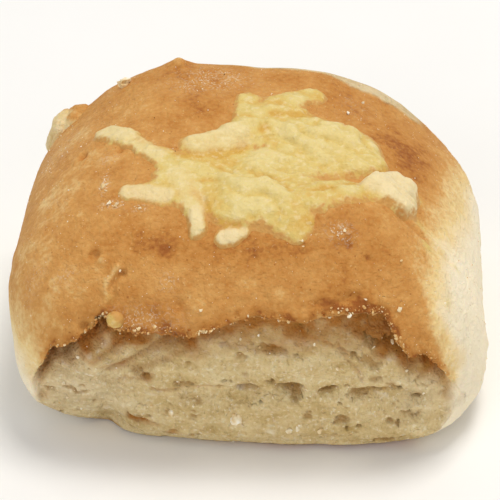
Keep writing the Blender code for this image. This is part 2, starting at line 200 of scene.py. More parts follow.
def grid_of_block(across: Array, deep: Array, high: Array) -> tuple[Array, Array]:
    """The surface of a block from -1 to 1, cut into quads facing outwards.

    Args:
        across: Cutting levels along X, from -1 to 1.
        deep: Cutting levels along Y, from -1 to 1.
        high: Cutting levels along Z, from -1 to 1.

    Returns:
        The points, and the four corners of each quad.
    """
    points: list[Array] = []
    quads: list[Array] = []
    count = 0
    sides = [(0, across, 1, deep, 2), (1, deep, 2, high, 0), (2, high, 0, across, 1)]
    for first, first_levels, second, second_levels, fixed in sides:
        for end in (-1.0, 1.0):
            u, v = np.meshgrid(first_levels, second_levels, indexing="ij")
            face = np.empty((u.size, 3))
            face[:, first] = u.ravel()
            face[:, second] = v.ravel()
            face[:, fixed] = end
            cut = quads_of_grid(count + np.arange(u.size).reshape(u.shape))
            quads.append(cut[:, ::-1] if end < 0 else cut)
            points.append(face)
            count += u.size
    every = np.round(np.concatenate(points), 9)
    unique, where = np.unique(every, axis=0, return_inverse=True)
    return unique, where.reshape(-1)[np.concatenate(quads)]


def mesh_from(name: str, points: Array, faces: Array) -> bpy.types.Mesh:
    """A mesh from points and faces.

    Args:
        name: The mesh's name.
        points: One row for each vertex.
        faces: The vertex numbers of each face, three or four.

    Returns:
        The mesh, shaded smooth.
    """
    mesh = bpy.data.meshes.new(name)
    mesh.vertices.add(len(points))
    mesh.vertices.foreach_set("co", points.astype(np.float32).ravel())
    mesh.loops.add(faces.size)
    mesh.loops.foreach_set("vertex_index", faces.astype(np.int32).ravel())
    mesh.polygons.add(len(faces))
    starts = np.arange(0, faces.size, faces.shape[1], dtype=np.int32)
    mesh.polygons.foreach_set("loop_start", starts)
    mesh.update(calc_edges=True)
    mesh.validate()
    mesh.shade_smooth()
    return mesh


def ball(cuts: int) -> tuple[Array, Array]:
    """A ball of radius 1 made of even triangles.

    Args:
        cuts: How often its twenty faces are cut in four, plus one.

    Returns:
        Its points, and the three corners of each triangle.
    """
    work = bmesh.new()
    bmesh.ops.create_icosphere(work, subdivisions=cuts, radius=1.0)
    points = np.array([vertex.co[:] for vertex in work.verts])
    faces = np.array([[vertex.index for vertex in face.verts] for face in work.faces])
    work.free()
    return points, faces


def points_of(mesh: bpy.types.Mesh) -> Array:
    """The places of a mesh's vertices, one row for each."""
    places = np.empty(len(mesh.vertices) * 3, np.float32)
    mesh.vertices.foreach_get("co", places)
    return places.reshape(-1, 3).astype(float)


def upright_on(points: Array, quads: Array) -> Array:
    """A vector square to each quad, twice as long as its area."""
    corner = points[quads]
    return np.cross(corner[:, 2] - corner[:, 0], corner[:, 3] - corner[:, 1])


def normals_of(points: Array, quads: Array) -> Array:
    """Unit normals at the points of a mesh of quads.

    Args:
        points: One row for each vertex.
        quads: Four vertex numbers for each face.

    Returns:
        One unit vector for each vertex.
    """
    face = upright_on(points, quads)
    total = np.zeros_like(points)
    for side in range(4):
        for axis in range(3):
            total[:, axis] += np.bincount(quads[:, side], face[:, axis], len(points))
    return total / np.maximum(np.linalg.norm(total, axis=1, keepdims=True), 1e-18)


def write_field(mesh: bpy.types.Mesh, name: str, values: Array) -> None:
    """Stores one number for each vertex under a name that materials can read."""
    attribute = mesh.attributes.new(name, "FLOAT", "POINT")
    attribute.data.foreach_set("value", values.astype(np.float32))


def add_object(name: str, mesh: bpy.types.Mesh) -> bpy.types.Object:
    """Links a new object with this mesh to the scene, at the origin."""
    thing = bpy.data.objects.new(name, mesh)
    bpy.context.scene.collection.objects.link(thing)
    return thing


def applied(thing: bpy.types.Object) -> bpy.types.Object:
    """Turns an object's evaluated form into its plain mesh and drops its modifiers.

    Args:
        thing: An object with modifiers.

    Returns:
        The same object.
    """
    bpy.context.view_layer.update()
    graph = bpy.context.evaluated_depsgraph_get()
    mesh = bpy.data.meshes.new_from_object(
        thing.evaluated_get(graph), preserve_all_data_layers=True, depsgraph=graph
    )
    mesh.name = thing.name
    thing.modifiers.clear()
    thing.data = mesh
    return thing


def add_node(
    tree: Any, kind: str, settings: dict[str, Any] | None = None, **inputs: Any
) -> Any:
    """Adds a node to a tree of any kind.

    Args:
        tree: The node tree.
        kind: Type of the node.
        settings: Its properties.
        **inputs: Its sockets by name, with _ for a space, or by i and a number. A socket
            of another node is linked, a node stands for its first output, and anything
            else is set as a value.

    Returns:
        The node.
    """
    node = tree.nodes.new(kind)
    for key, value in (settings or {}).items():
        setattr(node, key, value)
    for key, value in inputs.items():
        numbered = key[0] == "i" and key[1:].isdigit()
        socket = node.inputs[int(key[1:]) if numbered else key.replace("_", " ")]
        if isinstance(value, bpy.types.Node):
            value = value.outputs[0]
        if isinstance(value, bpy.types.NodeSocket):
            tree.links.new(value, socket)
        else:
            socket.default_value = value
    return node


# ---------------------------------------------------------------- finishes


def linear(colour: str) -> tuple[float, float, float, float]:
    """Turns an sRGB hex colour into the linear values that shaders take.

    Args:
        colour: A colour such as "#c98b45".

    Returns:
        Red, green, blue and an alpha of 1.
    """
    parts = [int(colour[i : i + 2], 16) / 255 for i in (1, 3, 5)]
    red, green, blue = (
        part / 12.92 if part <= 0.04045 else ((part + 0.055) / 1.055) ** 2.4 for part in parts
    )
    return red, green, blue, 1.0


def per_metre(millimetres: float) -> float:
    """The scale of a pattern whose cells are this many millimetres wide."""
    return 1000.0 / millimetres


@dataclass
class Palette:
    """A material's node tree while it is being built."""

    name: str
    material: bpy.types.Material = field(init=False)
    tree: Any = field(init=False)

    def __post_init__(self) -> None:
        """Makes the material with nothing in it."""
        self.material = bpy.data.materials.new(self.name)
        self.material.use_nodes = True
        self.tree = self.material.node_tree
        self.tree.nodes.clear()

    def add(self, kind: str, settings: dict[str, Any] | None = None, **inputs: Any) -> Any:
        """Adds a shader node, as add_node does, without ShaderNode before its type."""
        return add_node(self.tree, "ShaderNode" + kind, settings, **inputs)

    def value(self, name: str) -> Any:
        """The number stored on the vertices under this name."""
        return self.add("Attribute", {"attribute_name": name}).outputs["Fac"]

    def maths(self, operation: str, first: Any, second: Any, clamp: bool = False) -> Any:
        """One sum on numbers or sockets, and its result."""
        settings = {"operation": operation, "use_clamp": clamp}
        return self.add("Math", settings, i0=first, i1=second).outputs[0]

    def plus(self, first: Any, second: Any, clamp: bool = False) -> Any:
        """The sum of two numbers or sockets."""
        return self.maths("ADD", first, second, clamp)

    def times(self, first: Any, *others: Any) -> Any:
        """The product of numbers or sockets."""
        for other in others:
            first = self.maths("MULTIPLY", first, other)
        return first

    def blend(self, share: Any, first: Any, second: Any) -> Any:
        """A colour between two, which are colour sockets or hex colours."""
        first, second = (linear(c) if isinstance(c, str) else c for c in (first, second))
        settings = {"data_type": "RGBA", "blend_type": "MIX"}
        return self.add("Mix", settings, i0=share, i6=first, i7=second).outputs[2]

    def ramp(self, amount: Any, stops: list[tuple[float, str]]) -> Any:
        """Colours laid along a number.

        Args:
            amount: The socket that holds the number.
            stops: Each place from 0 to 1 with its hex colour.

        Returns:
            The colour socket.
        """
        node = self.add("ValToRGB", i0=amount)
        bands = node.color_ramp.elements
        while len(bands) < len(stops):
            bands.new(0.5)
        for band, (place, colour) in zip(bands, stops):
            band.position = place
            band.color = linear(colour)
        return node.outputs[0]

    def band(self, amount: Any, low: float, high: float) -> Any:
        """A number spread so that low becomes 0 and high becomes 1, eased and clipped."""
        settings = {"interpolation_type": "SMOOTHSTEP"}
        return self.add("MapRange", settings, i0=amount, i1=low, i2=high).outputs[0]

    def noise(self, width_mm: float, detail: float = 3.0, stretch: Line = (1, 1, 1)) -> Any:
        """Cloudy noise in the object's own coordinates.

        Args:
            width_mm: Width of its lumps in millimetres.
            detail: How many finer layers it has.
            stretch: How much more often it repeats along each axis.

        Returns:
            The socket of its number from 0 to 1.
        """
        place = self.add("TexCoord").outputs["Object"]
        if stretch != (1, 1, 1):
            place = self.add("Mapping", i0=place, Scale=stretch).outputs[0]
        scale = per_metre(width_mm)
        return self.add("TexNoise", Vector=place, Scale=scale, Detail=detail).outputs[0]

    def swing(self, width_mm: float, detail: float, amount: float = 1.0) -> Any:
        """Noise around zero that swings by about half this amount to each side."""
        return self.times(self.maths("SUBTRACT", self.noise(width_mm, detail), 0.5), amount)

    def specks(self, pattern: Line) -> Any:
        """Spots of noise: width in millimetres, detail, where it begins and is full, share."""
        width_mm, detail, low, high, share = pattern
        return self.times(self.band(self.noise(width_mm, detail), low, high), share)

    def cells(self, width_mm: float) -> Any:
        """Distance to the nearest of scattered points in the object's own coordinates."""
        place = self.add("TexCoord").outputs["Object"]
        node = self.add("TexVoronoi", Vector=place, Scale=per_metre(width_mm))
        return node.outputs["Distance"]

    def bump(self, height: Any, depth_mm: float, under: Any = None) -> Any:
        """Relief of a height from 0 to 1, this deep at 1, on top of an earlier relief."""
        below = {} if under is None else {"Normal": under}
        return self.add("Bump", Height=height, Distance=depth_mm * MM, **below).outputs[0]

    def bumpy(self, pattern: Line, under: Any = None, where: Any = 1.0) -> Any:
        """Relief of noise: its width in millimetres, detail and depth in millimetres."""
        width_mm, detail, depth_mm = pattern
        return self.bump(self.times(self.noise(width_mm, detail), where), depth_mm, under)

    def close(self, **surface: Any) -> bpy.types.Material:
        """Ends the tree in a Principled surface with these sockets.

        Args:
            **surface: The surface's sockets by name.

        Returns:
            The finished material.
        """
        shader = self.add("BsdfPrincipled", {"subsurface_method": "RANDOM_WALK"}, **surface)
        self.add("OutputMaterial", Surface=shader.outputs[0])
        return self.material


@dataclass(frozen=True)
class BunFinish:
    """Baked wheat crust and torn crumb, as one material over the whole bun.

    Crust is dried, browned dough: matt, finely pitted and mottled, paler where the heat
    didn't reach. Torn crumb is soft and pale, a little see-through, with pores whose
    insides are painted darker as shade. The bun's own fields say where each of them is.
    """

    pale: str = "#fbeccd"
    cream: str = "#eed092"
    golden: str = "#d59d57"
    brown: str = "#c1823c"
    dark: str = "#9d5b25"
    crumb: str = "#dcc28c"
    crumb_light: str = "#ecd8a8"
    crumb_shade: str = "#bfa062"
    # Pale of pale specks, and of the flake rims, which are partly painted highlight.
    rim: str = "#f5ead0"
    # Ochre of dark specks, and of the painted shade inside pores.
    pore: str = "#a37433"
    # Brown of the real stains, also used for painted shade under the lip, in caves, pores and
    # folds.
    stain: str = "#a9691f"
    cheesy: str = "#dcc070"
    flour: str = "#f0e3c8"
    base: str = "#b98645"
    # Waverings of the colour: width in millimetres, detail, how far they swing.
    mottle: Line = (3.6, 6.0, 0.45)
    fine_mottle: Line = (0.8, 4.0, 0.5)
    grit: Line = (0.6, 5.0)
    # Layers of the crumb: width in millimetres, detail; and how they are stretched.
    layers: Line = (4.0, 8.0)
    layers_stretch: Line = (0.7, 0.7, 1.2)
    # Specks: width in millimetres, detail, the noise where they begin and are full, share.
    light_grains: Line = (0.45, 3.0, 0.60, 0.72, 0.35)
    light_patches: Line = (5.0, 3.0, 0.38, 0.66, 1.0)
    pale_specks: Line = (0.6, 5.0, 0.57, 0.69, 0.4)
    dark_specks: Line = (0.9, 5.0, 0.40, 0.31, 0.3)
    dust_specks: Line = (0.4, 5.0, 0.50, 0.62, 0.85)
    # Browning from which the crust is mottled, and from which it has scorched spots.
    mottled_from: Line = (0.0, 0.4)
    scorched_from: Line = (0.3, 0.6)
    # Scorched spots: their gap in millimetres, where they end and are full, share.
    scorch: Line = (2.3, 0.085, 0.05, 0.7)
    grit_in_layers: float = 0.45
    grit_in_stain: float = 0.5
    stained: float = 0.9
    stained_from: Line = (0.0, 0.3)
    pore_shade: float = 0.6
    # Relief: width in millimetres, detail, depth in millimetres.
    grain: Line = (0.4, 4.0, 0.25)
    wrinkles: Line = (1.2, 6.0, 0.55)
    fluff: Line = (2.0, 8.0, 1.1)
    # Fine pits: their gap in millimetres, how wide they are, depth in millimetres.
    pits: Line = (0.8, 0.3, 0.05)
    crust_rough: float = 0.74
    crumb_rougher: float = 0.16

    def crust_colour(self, palette: Palette) -> Any:
        """Colour of the crust, from pale at the sides to brown on top."""
        baked = palette.value("baked")
        swing = palette.plus(palette.swing(*self.mottle), palette.swing(*self.fine_mottle))
        swing = palette.times(swing, palette.band(baked, *self.mottled_from))
        stops = [
            (0.0, self.pale),
            (0.22, self.cream),
            (0.5, self.golden),
            (0.8, self.brown),
            (1.0, self.dark),
        ]
        colour = palette.ramp(palette.plus(baked, swing, True), stops)
        grains, patches = map(palette.specks, (self.light_grains, self.light_patches))
        colour = palette.blend(palette.times(grains, patches), colour, self.cream)
        gap, end, full, share = self.scorch
        scorched = palette.band(palette.cells(gap), end, full)
        scorched = palette.times(scorched, palette.band(baked, *self.scorched_from), share)
        colour = palette.blend(scorched, colour, self.dark)
        return palette.blend(palette.value("cheesy"), colour, self.cheesy)

    def crumb_colour(self, palette: Palette) -> Any:
        """Colour of the torn crumb: beige layers, ochre painted shade in pores, folds and under
        the lip, brown stains, and pale flake rims that are partly painted highlight.
        """
        grit = palette.swing(*self.grit)
        layers = palette.noise(*self.layers, self.layers_stretch)
        layers = palette.plus(layers, palette.times(grit, self.grit_in_layers))
        stops = [(0.24, self.crumb_shade), (0.5, self.crumb), (0.74, self.crumb_light)]
        colour = palette.ramp(layers, stops)
        colour = palette.blend(palette.specks(self.pale_specks), colour, self.rim)
        colour = palette.blend(palette.specks(self.dark_specks), colour, self.pore)
        # Pale flake rims: partly the crumb's own pale flakes, partly painted highlight.
        colour = palette.blend(palette.value("rim"), colour, self.rim)
        # Brown stains, and painted shade under the lip, in caves, pores and folds.
        stain = palette.value("stain")
        uneven = palette.plus(stain, palette.times(grit, self.grit_in_stain))
        uneven = palette.times(uneven, palette.band(stain, *self.stained_from))
        stain = palette.maths("MULTIPLY", uneven, self.stained, True)
        colour = palette.blend(stain, colour, self.stain)
        # Painted shade inside the pores, tinted ochre.
        pore = palette.times(palette.value("pore"), self.pore_shade)
        return palette.blend(pore, colour, self.pore)

    def make(self) -> bpy.types.Material:
        """The finished material."""
        palette = Palette("baked_wheat_crust_and_torn_crumb")
        torn = palette.value("torn")
        colour = palette.blend(torn, self.crust_colour(palette), self.crumb_colour(palette))
        colour = palette.blend(palette.value("foot"), colour, self.base)
        dust = palette.times(palette.value("flour"), palette.specks(self.dust_specks))
        colour = palette.blend(dust, colour, self.flour)
        relief = palette.bumpy(self.wrinkles, palette.bumpy(self.grain))
        relief = palette.bumpy(self.fluff, relief, torn)
        gap, wide, depth = self.pits
        relief = palette.bump(palette.band(palette.cells(gap), 0.0, wide), depth, relief)
        rough = palette.plus(self.crust_rough, palette.times(torn, self.crumb_rougher))
        return palette.close(
            Base_Color=colour,
            Roughness=rough,
            IOR=1.45,
            Specular_IOR_Level=0.25,
            Subsurface_Weight=0.15,
            Subsurface_Radius=(1.0, 0.55, 0.25),
            Subsurface_Scale=0.5 * MM,
            Normal=relief,
        )


@dataclass(frozen=True)
class CheeseFinish:
    """Grated cheddar, melted in the oven and set: waxy, soft-edged, a little glossy.

    Thick cheese is pale and cloudy, with its lumps painted paler as highlight and its
    creases deeper as shade. Where the cheese ran thin it is a deeper, clearer yellow, and
    its very edge has browned onto the crust.
    """

    thick: str = "#e2cd8a"
    middle: str = "#dbc071"
    thin: str = "#d9b562"
    deep: str = "#d2a64c"
    edge: str = "#cf9b54"
    pale: str = "#eedaac"
    # Waverings of the colour: width in millimetres, detail.
    cloud: Line = (1.8, 6.0)
    crumbly: Line = (0.7, 5.0)
    clouded: float = 0.8
    # Specks: width in millimetres, detail, the noise where they begin and are full, share.
    flecks: Line = (0.9, 6.0, 0.52, 0.66, 0.35)
    # How unevenly the edge has browned, and where that begins and is full.
    wear: float = 2.6
    browned: Line = (0.12, 0.78)
    # Relief: width in millimetres, detail, depth in millimetres.
    fine_relief: Line = (0.45, 4.0, 0.14)
    relief: Line = (1.3, 5.0, 0.5)

    def make(self) -> bpy.types.Material:
        """The finished material."""
        palette = Palette("melted_cheddar")
        cloud = palette.swing(*self.cloud)
        amount = palette.plus(palette.value("depth"), palette.times(cloud, self.clouded), True)
        stops = [(0.0, self.deep), (0.22, self.thin), (0.5, self.middle), (0.9, self.thick)]
        colour = palette.blend(palette.value("pale"), palette.ramp(amount, stops), self.pale)
        colour = palette.blend(palette.specks(self.flecks), colour, self.pale)
        worn = palette.times(palette.plus(cloud, palette.swing(*self.crumbly)), self.wear)
        worn = palette.times(palette.plus(worn, 1.0), palette.value("edge"))
        colour = palette.blend(palette.band(worn, *self.browned), colour, self.edge)
        relief = palette.bumpy(self.relief, palette.bumpy(self.fine_relief))
        return palette.close(
            Base_Color=colour,
            Roughness=0.48,
            IOR=1.45,
            Specular_IOR_Level=0.3,
            Subsurface_Weight=0.18,
            Subsurface_Radius=(1.0, 0.8, 0.45),
            Subsurface_Scale=1.0 * MM,
            Normal=relief,
        )


@dataclass(frozen=True)
class GrainFinish:
    """Dry grains: flour, which is almost white, or crumbs, from cream to toasted.

    Each grain has a shade of its own, because its colour reads a pattern that is wider
    than the grain. Both kinds are quite matt.
    """

    name: str
    shades: tuple[str, ...]
    width_mm: float

    def make(self) -> bpy.types.Material:
        """The finished material."""
        palette = Palette(self.name)
        places = np.linspace(0.34, 0.66, len(self.shades))
        shade = palette.ramp(palette.noise(self.width_mm, 2.0), list(zip(places, self.shades)))
        return palette.close(Base_Color=shade, Roughness=0.9, Specular_IOR_Level=0.15)


# ---------------------------------------------------------------- the bun


@dataclass
class BunForm:
    """The form of the bun: a rounded body, torn front and back, with a swollen top."""

    width: float = 80.0 * MM
    depth: float = 79.0 * MM
    height: float = 42.0 * MM
    waist: float = 15.0 * MM
    base_sink: float = 1.2 * MM
    front_squareness: float = 4.2
    # Where, along the block, the plan changes from the front's to the back's form.
    squareness_change: Line = (-0.8, 0.8)
    back_squareness: float = 3.0
    dome_power: float = 2.3
    underside_power: float = 4.5
    base_lean: float = 3.4 * MM
    # Swells of the top in millimetres: centre x, centre y, reach x, reach y, height.
    swells: Rows = table(
        back_left_peak=(-14, 21, 15, 11, 2.6),
        peak_nub=(-14.5, 21, 2.6, 2.4, 1.2),
        back_right_swell=(10, 23, 14, 9, 1.9),
        back_right_shoulder=(30, 20, 13, 13, -1.8),
        left_swell=(-25, -2, 12, 18, 1),
        right_front_lobe=(18, -20, 15, 8, 2.6),
        cheese_hollow=(7, -9, 15, 9, -2.8),
        right_crease=(33, -14, 8, 3, -1.6),
        back_right_strip=(22, 23, 9, 5, 1),
        back_left_shoulder=(-31, 13, 8, 10, -1.4),
    )
    swells_from: float = 14.0 * MM
    foot_bulge: float = 1.8 * MM
    foot_bulge_at: Line = (38.0 * MM, -20.0 * MM, 8.0 * MM)
    foot_bulge_reach: float = 11.0 * MM
    front_tear: float = 35.5 * MM
    front_bow: float = 3.0 * MM
    front_half_width: float = 34.0 * MM
    lip: float = 28.2 * MM
    # Drops of the lip in millimetres: where each starts and ends along X, the drop.
    lip_steps: Rows = table(
        left_shoulder=(3.5, -6.5, 3),
        left_corner=(-20.5, -29.5, 4.5),
        left_end=(-28.3, -34.5, 10),
        right_shoulder=(23.8, 29.8, 6.4),
        right_corner=(30.5, 41, 13),
    )
    # Holes torn up into the lip in millimetres: centre, reach, rise.
    lip_arches: Rows = table(
        left_hole=(-20.2, 1.1, 1.5),
        right_hole=(22.5, 4.5, 0.9),
    )
    tear_left: Line = (-33.8 * MM, -31.8 * MM)
    tear_right: float = 35.0 * MM
    tear_right_wander: Noise = Noise(2.0 * MM, 5.0, 9)
    # How the tear fades out past its right end, and across its rim.
    tear_right_fade: Line = (2.0 * MM, -1.0 * MM)
    tear_rim: Line = (-0.25 * MM, 0.15 * MM)
    lip_wave: Noise = Noise(0.5 * MM, 9.0, 5)
    lip_ragged: Noise = Noise(0.55 * MM, 2.2, 6, 4)
    back_lip_ragged: Noise = Noise(0.55 * MM, 2.5, 8)
    # Where the lip is steep it is less ragged, in millimetres: centre, reach, share.
    lip_calm: Line = (27.0, 4.0, 0.75)
    # The block's row that lies along the lip, and how deep the front's rows follow it.
    lip_row: float = 0.45
    lip_row_fade: Line = (-1.0, -0.6)
    lip_passes: int = 20
    lip_thickness: float = 0.9 * MM
    lip_groove: float = 2.2 * MM
    groove_below_lip: float = 2.0 * MM
    groove_reach: float = 2.4 * MM
    foot_tuck: float = 1.6 * MM
    foot_tuck_height: float = 5.0 * MM
    left_foot_tuck: float = 2.6 * MM
    left_foot_tuck_height: float = 12.0 * MM
    left_foot_ends: Line = (-23.0 * MM, -15.0 * MM)
    # Creases and caves of the torn face in millimetres: start x, start z, end x, end z,
    # reach, depth. A minus depth is a lump.
    creases: Rows = table(
        corner_cave=(-29, 16.5, -26.5, 17.5, 2.6, 3),
        corner_lobe=(-24.5, 18, -23, 16.5, 2.4, -1.6),
        slanting_fold=(-20.5, 13.5, -9, 22.5, 1.8, 1.5),
        foot_fold=(-21, 1, -20.5, 7, 2.2, 1.6),
        long_crack=(-7.5, 11, 10.5, 13.2, 1.5, 1.4),
        right_crack=(15.5, 13.6, 31, 11.2, 1.5, 1.3),
        torn_patch=(21.5, 25, 25, 23.5, 3, 1.6),
    )
    back_tear: float = 34.5 * MM
    back_lip: float = 24.0 * MM
    back_strip_bulge: float = 2.6 * MM
    back_strip_ends: Line = (6.0 * MM, 30.5 * MM)
    back_strip_fade: float = 4.0 * MM
    back_strip_level: Line = (25.0 * MM, 7.0 * MM)
    # The torn strip that shows along the back, in millimetres: its front edge at the
    # left and at the right, and where it changes from the one to the other.
    back_seam: Line = (22.8, 19.8)
    back_seam_change: Line = (10.0, 17.0)
    back_seam_ends: Line = (-9.0, 28.0)
    # The torn patch under the next bun's corner, in millimetres: its middle and reach,
    # and how far back it starts.
    corner_tear: Line = (-34.5, 22.5, 25.0, 7.5)
    corner_tear_from: Line = (12.0, 15.0)
    back_seam_ragged: Noise = Noise(0.8, 2.5, 15, 4)
    corner_tear_ragged: Noise = Noise(2.5, 5.0, 16, 4)
    crust_relief: Noise = Noise(0.35 * MM, 8.0, 31)
    crust_relief_from: Line = (0.5 * MM, 4.0 * MM)
    front_crumb: Noise = Noise(0.9 * MM, 9.0, 11)
    back_crumb: Noise = Noise(0.9 * MM, 9.0, 23)
    crumb_layering: Line = (0.6, 0.5, 2.0)

    def plan_size(self, across: Array, deep: Array) -> Array:
        """How far out a point of the block lies in plan, 1 on the block's sides."""
        change = smooth_step(*self.squareness_change, deep)
        power = self.front_squareness + (self.back_squareness - self.front_squareness) * change
        return (np.abs(across) ** power + np.abs(deep) ** power) ** (1 / power)

    def upright_power(self, high: Array) -> Array:
        """Power of the upright outline above and below the waist."""
        return np.where(high > 0, self.dome_power, self.underside_power)

    def upright_reach(self, high: Array) -> Array:
        """How far the body reaches above and below the waist."""
        return np.where(high > 0, self.height - self.waist, self.waist + self.base_sink)

    def lip_height(self, x: Array) -> Array:
        """Height of the crust's ragged edge over the torn front.

        Args:
            x: Places across the bun.

        Returns:
            The height at each place.
        """
        along = x / MM
        height = np.full_like(x, self.lip / MM)
        for start, end, drop in self.lip_steps.values():
            height -= drop * smooth_step(start, end, along)
        for centre, reach, rise in self.lip_arches.values():
            height += rise * bell(along, centre, reach)
        line = lying(x, np.zeros_like(x))
        height = height * MM + self.lip_wave.at(line)
        centre, reach, share = self.lip_calm
        return height + (1.0 - share * bell(along, centre, reach)) * self.lip_ragged.at(line)

    def rows_on_lip(self, block: Array) -> Array:
        """Slides the block's rows on the front, so that one lies along the lip.

        Args:
            block: Points of the block's surface, from -1 to 1.

        Returns:
            The points with their levels moved.
        """
        across, deep, high = block.T
        plan = np.maximum(self.plan_size(across, deep), 0.1)
        side = across / plan * self.width / 2
        x = side
        for _ in range(self.lip_passes):
            over = self.lip_height(x) - self.waist
            share = over / self.upright_reach(over)
            power = self.upright_power(over)
            narrow = (1 - np.abs(share) ** power) ** (1 / power)
            x = side * narrow + self.base_lean * (0.5 - (self.waist + over) / self.height)
        on_front = 1 - smooth_step(*self.lip_row_fade, deep)
        level = self.lip_row + (plan * share / narrow - self.lip_row) * on_front
        below = (high + 1) * (level + 1) / (self.lip_row + 1) - 1
        above = level + (high - self.lip_row) * (1 - level) / (1 - self.lip_row)
        return np.column_stack((across, deep, np.where(high < self.lip_row, below, above)))

    def rounded_body(self, block: Array) -> Array:
        """Moves points of the block's surface out to the rounded, leaning bun.

        Args:
            block: Points of the block's surface, from -1 to 1.

        Returns:
            Their places in metres.
        """
        across, deep, high = block.T
        power = self.upright_power(high)
        plan = self.plan_size(across, deep)
        scale = (plan**power + np.abs(high) ** power) ** (-1 / power)
        z = self.waist + high * scale * self.upright_reach(high)
        x = across * scale * self.width / 2 + self.base_lean * (0.5 - z / self.height)
        points = np.column_stack((x, deep * scale * self.depth / 2, z))
        away = np.linalg.norm(points - np.array(self.foot_bulge_at), axis=1)
        points[:, 0] += self.foot_bulge * bell(away, 0, self.foot_bulge_reach)
        return points

    def front_face(self, points: Array) -> Array:
        """How far back the torn front lies, before its fine crumb.

        Args:
            points: Places near the front.

        Returns:
            The y of the torn face at each place.
        """
        x, _, z = points.T
        lip = self.lip_height(x)
        torn_y = self.front_bow * (x / self.front_half_width) ** 2 - self.front_tear
        torn_y += self.lip_groove * bell(z, lip - self.groove_below_lip, self.groove_reach)
        left = 1 - smooth_step(*self.left_foot_ends, x)
        torn_y += self.foot_tuck * (1 - smooth_step(0, self.foot_tuck_height, z))
        left = left * (1 - smooth_step(0, self.left_foot_tuck_height, z))
        torn_y += self.left_foot_tuck * left
        torn_y += self.front_crumb.at(points * self.crumb_layering)
        for start_x, start_z, end_x, end_z, reach, depth in self.creases.values():
            away = away_from_line(x / MM, z / MM, (start_x, start_z), (end_x, end_z))
            torn_y += depth * MM * bell(away, 0, reach)
        return torn_y

    def back_face(self, points: Array) -> Array:
        """How far back the torn back lies, before its fine crumb.

        Args:
            points: Places near the back.

        Returns:
            The y of the torn back at each place.
        """
        x, _, z = points.T
        (start, end), fade = self.back_strip_ends, self.back_strip_fade
        strip = smooth_step(start - fade, start + fade, x)
        strip = strip * (1 - smooth_step(end - fade, end + fade, x))
        torn_y = self.back_tear + self.back_strip_bulge * strip * bell(z, *self.back_strip_level)
        return torn_y - self.back_crumb.at(points * self.crumb_layering)

    def past_back_seam(self, points: Array) -> Array:
        """Marks the torn strip along the back, where the next bun was pulled away.

        Args:
            points: Places on the bun.

        Returns:
            1 on the strip and 0 in front of it.
        """
        x, y, _ = points.T / MM
        left, right = self.back_seam
        edge = left + (right - left) * smooth_step(*self.back_seam_change, x)
        edge = edge + self.back_seam_ragged.at(points)
        start, end = self.back_seam_ends
        across = smooth_step(start, start + 3, x) * smooth_step(end + 2, end - 1, x)
        return smooth_step(-0.6, 0.7, y - edge) * across

    def in_corner_tear(self, points: Array) -> Array:
        """Marks the torn patch around the next bun's corner: 1 on it, 0 beside it."""
        *middle, reach = self.corner_tear
        away = np.linalg.norm(points / MM - middle, axis=1)
        away = away + self.corner_tear_ragged.at(points)
        behind = smooth_step(*self.corner_tear_from, points[:, 1] / MM)
        return smooth_step(reach + 0.6, reach - 0.6, away) * behind

    def add_swells(self, points: Array) -> Array:
        """Gives the top its swells, its crease and the hollow that holds the cheese."""
        x, y, z = points.T
        on_top = smooth_step(self.waist, self.waist + self.swells_from, z)
        return np.column_stack((x, y, z + soft_patches(x, y, self.swells) * MM * on_top))


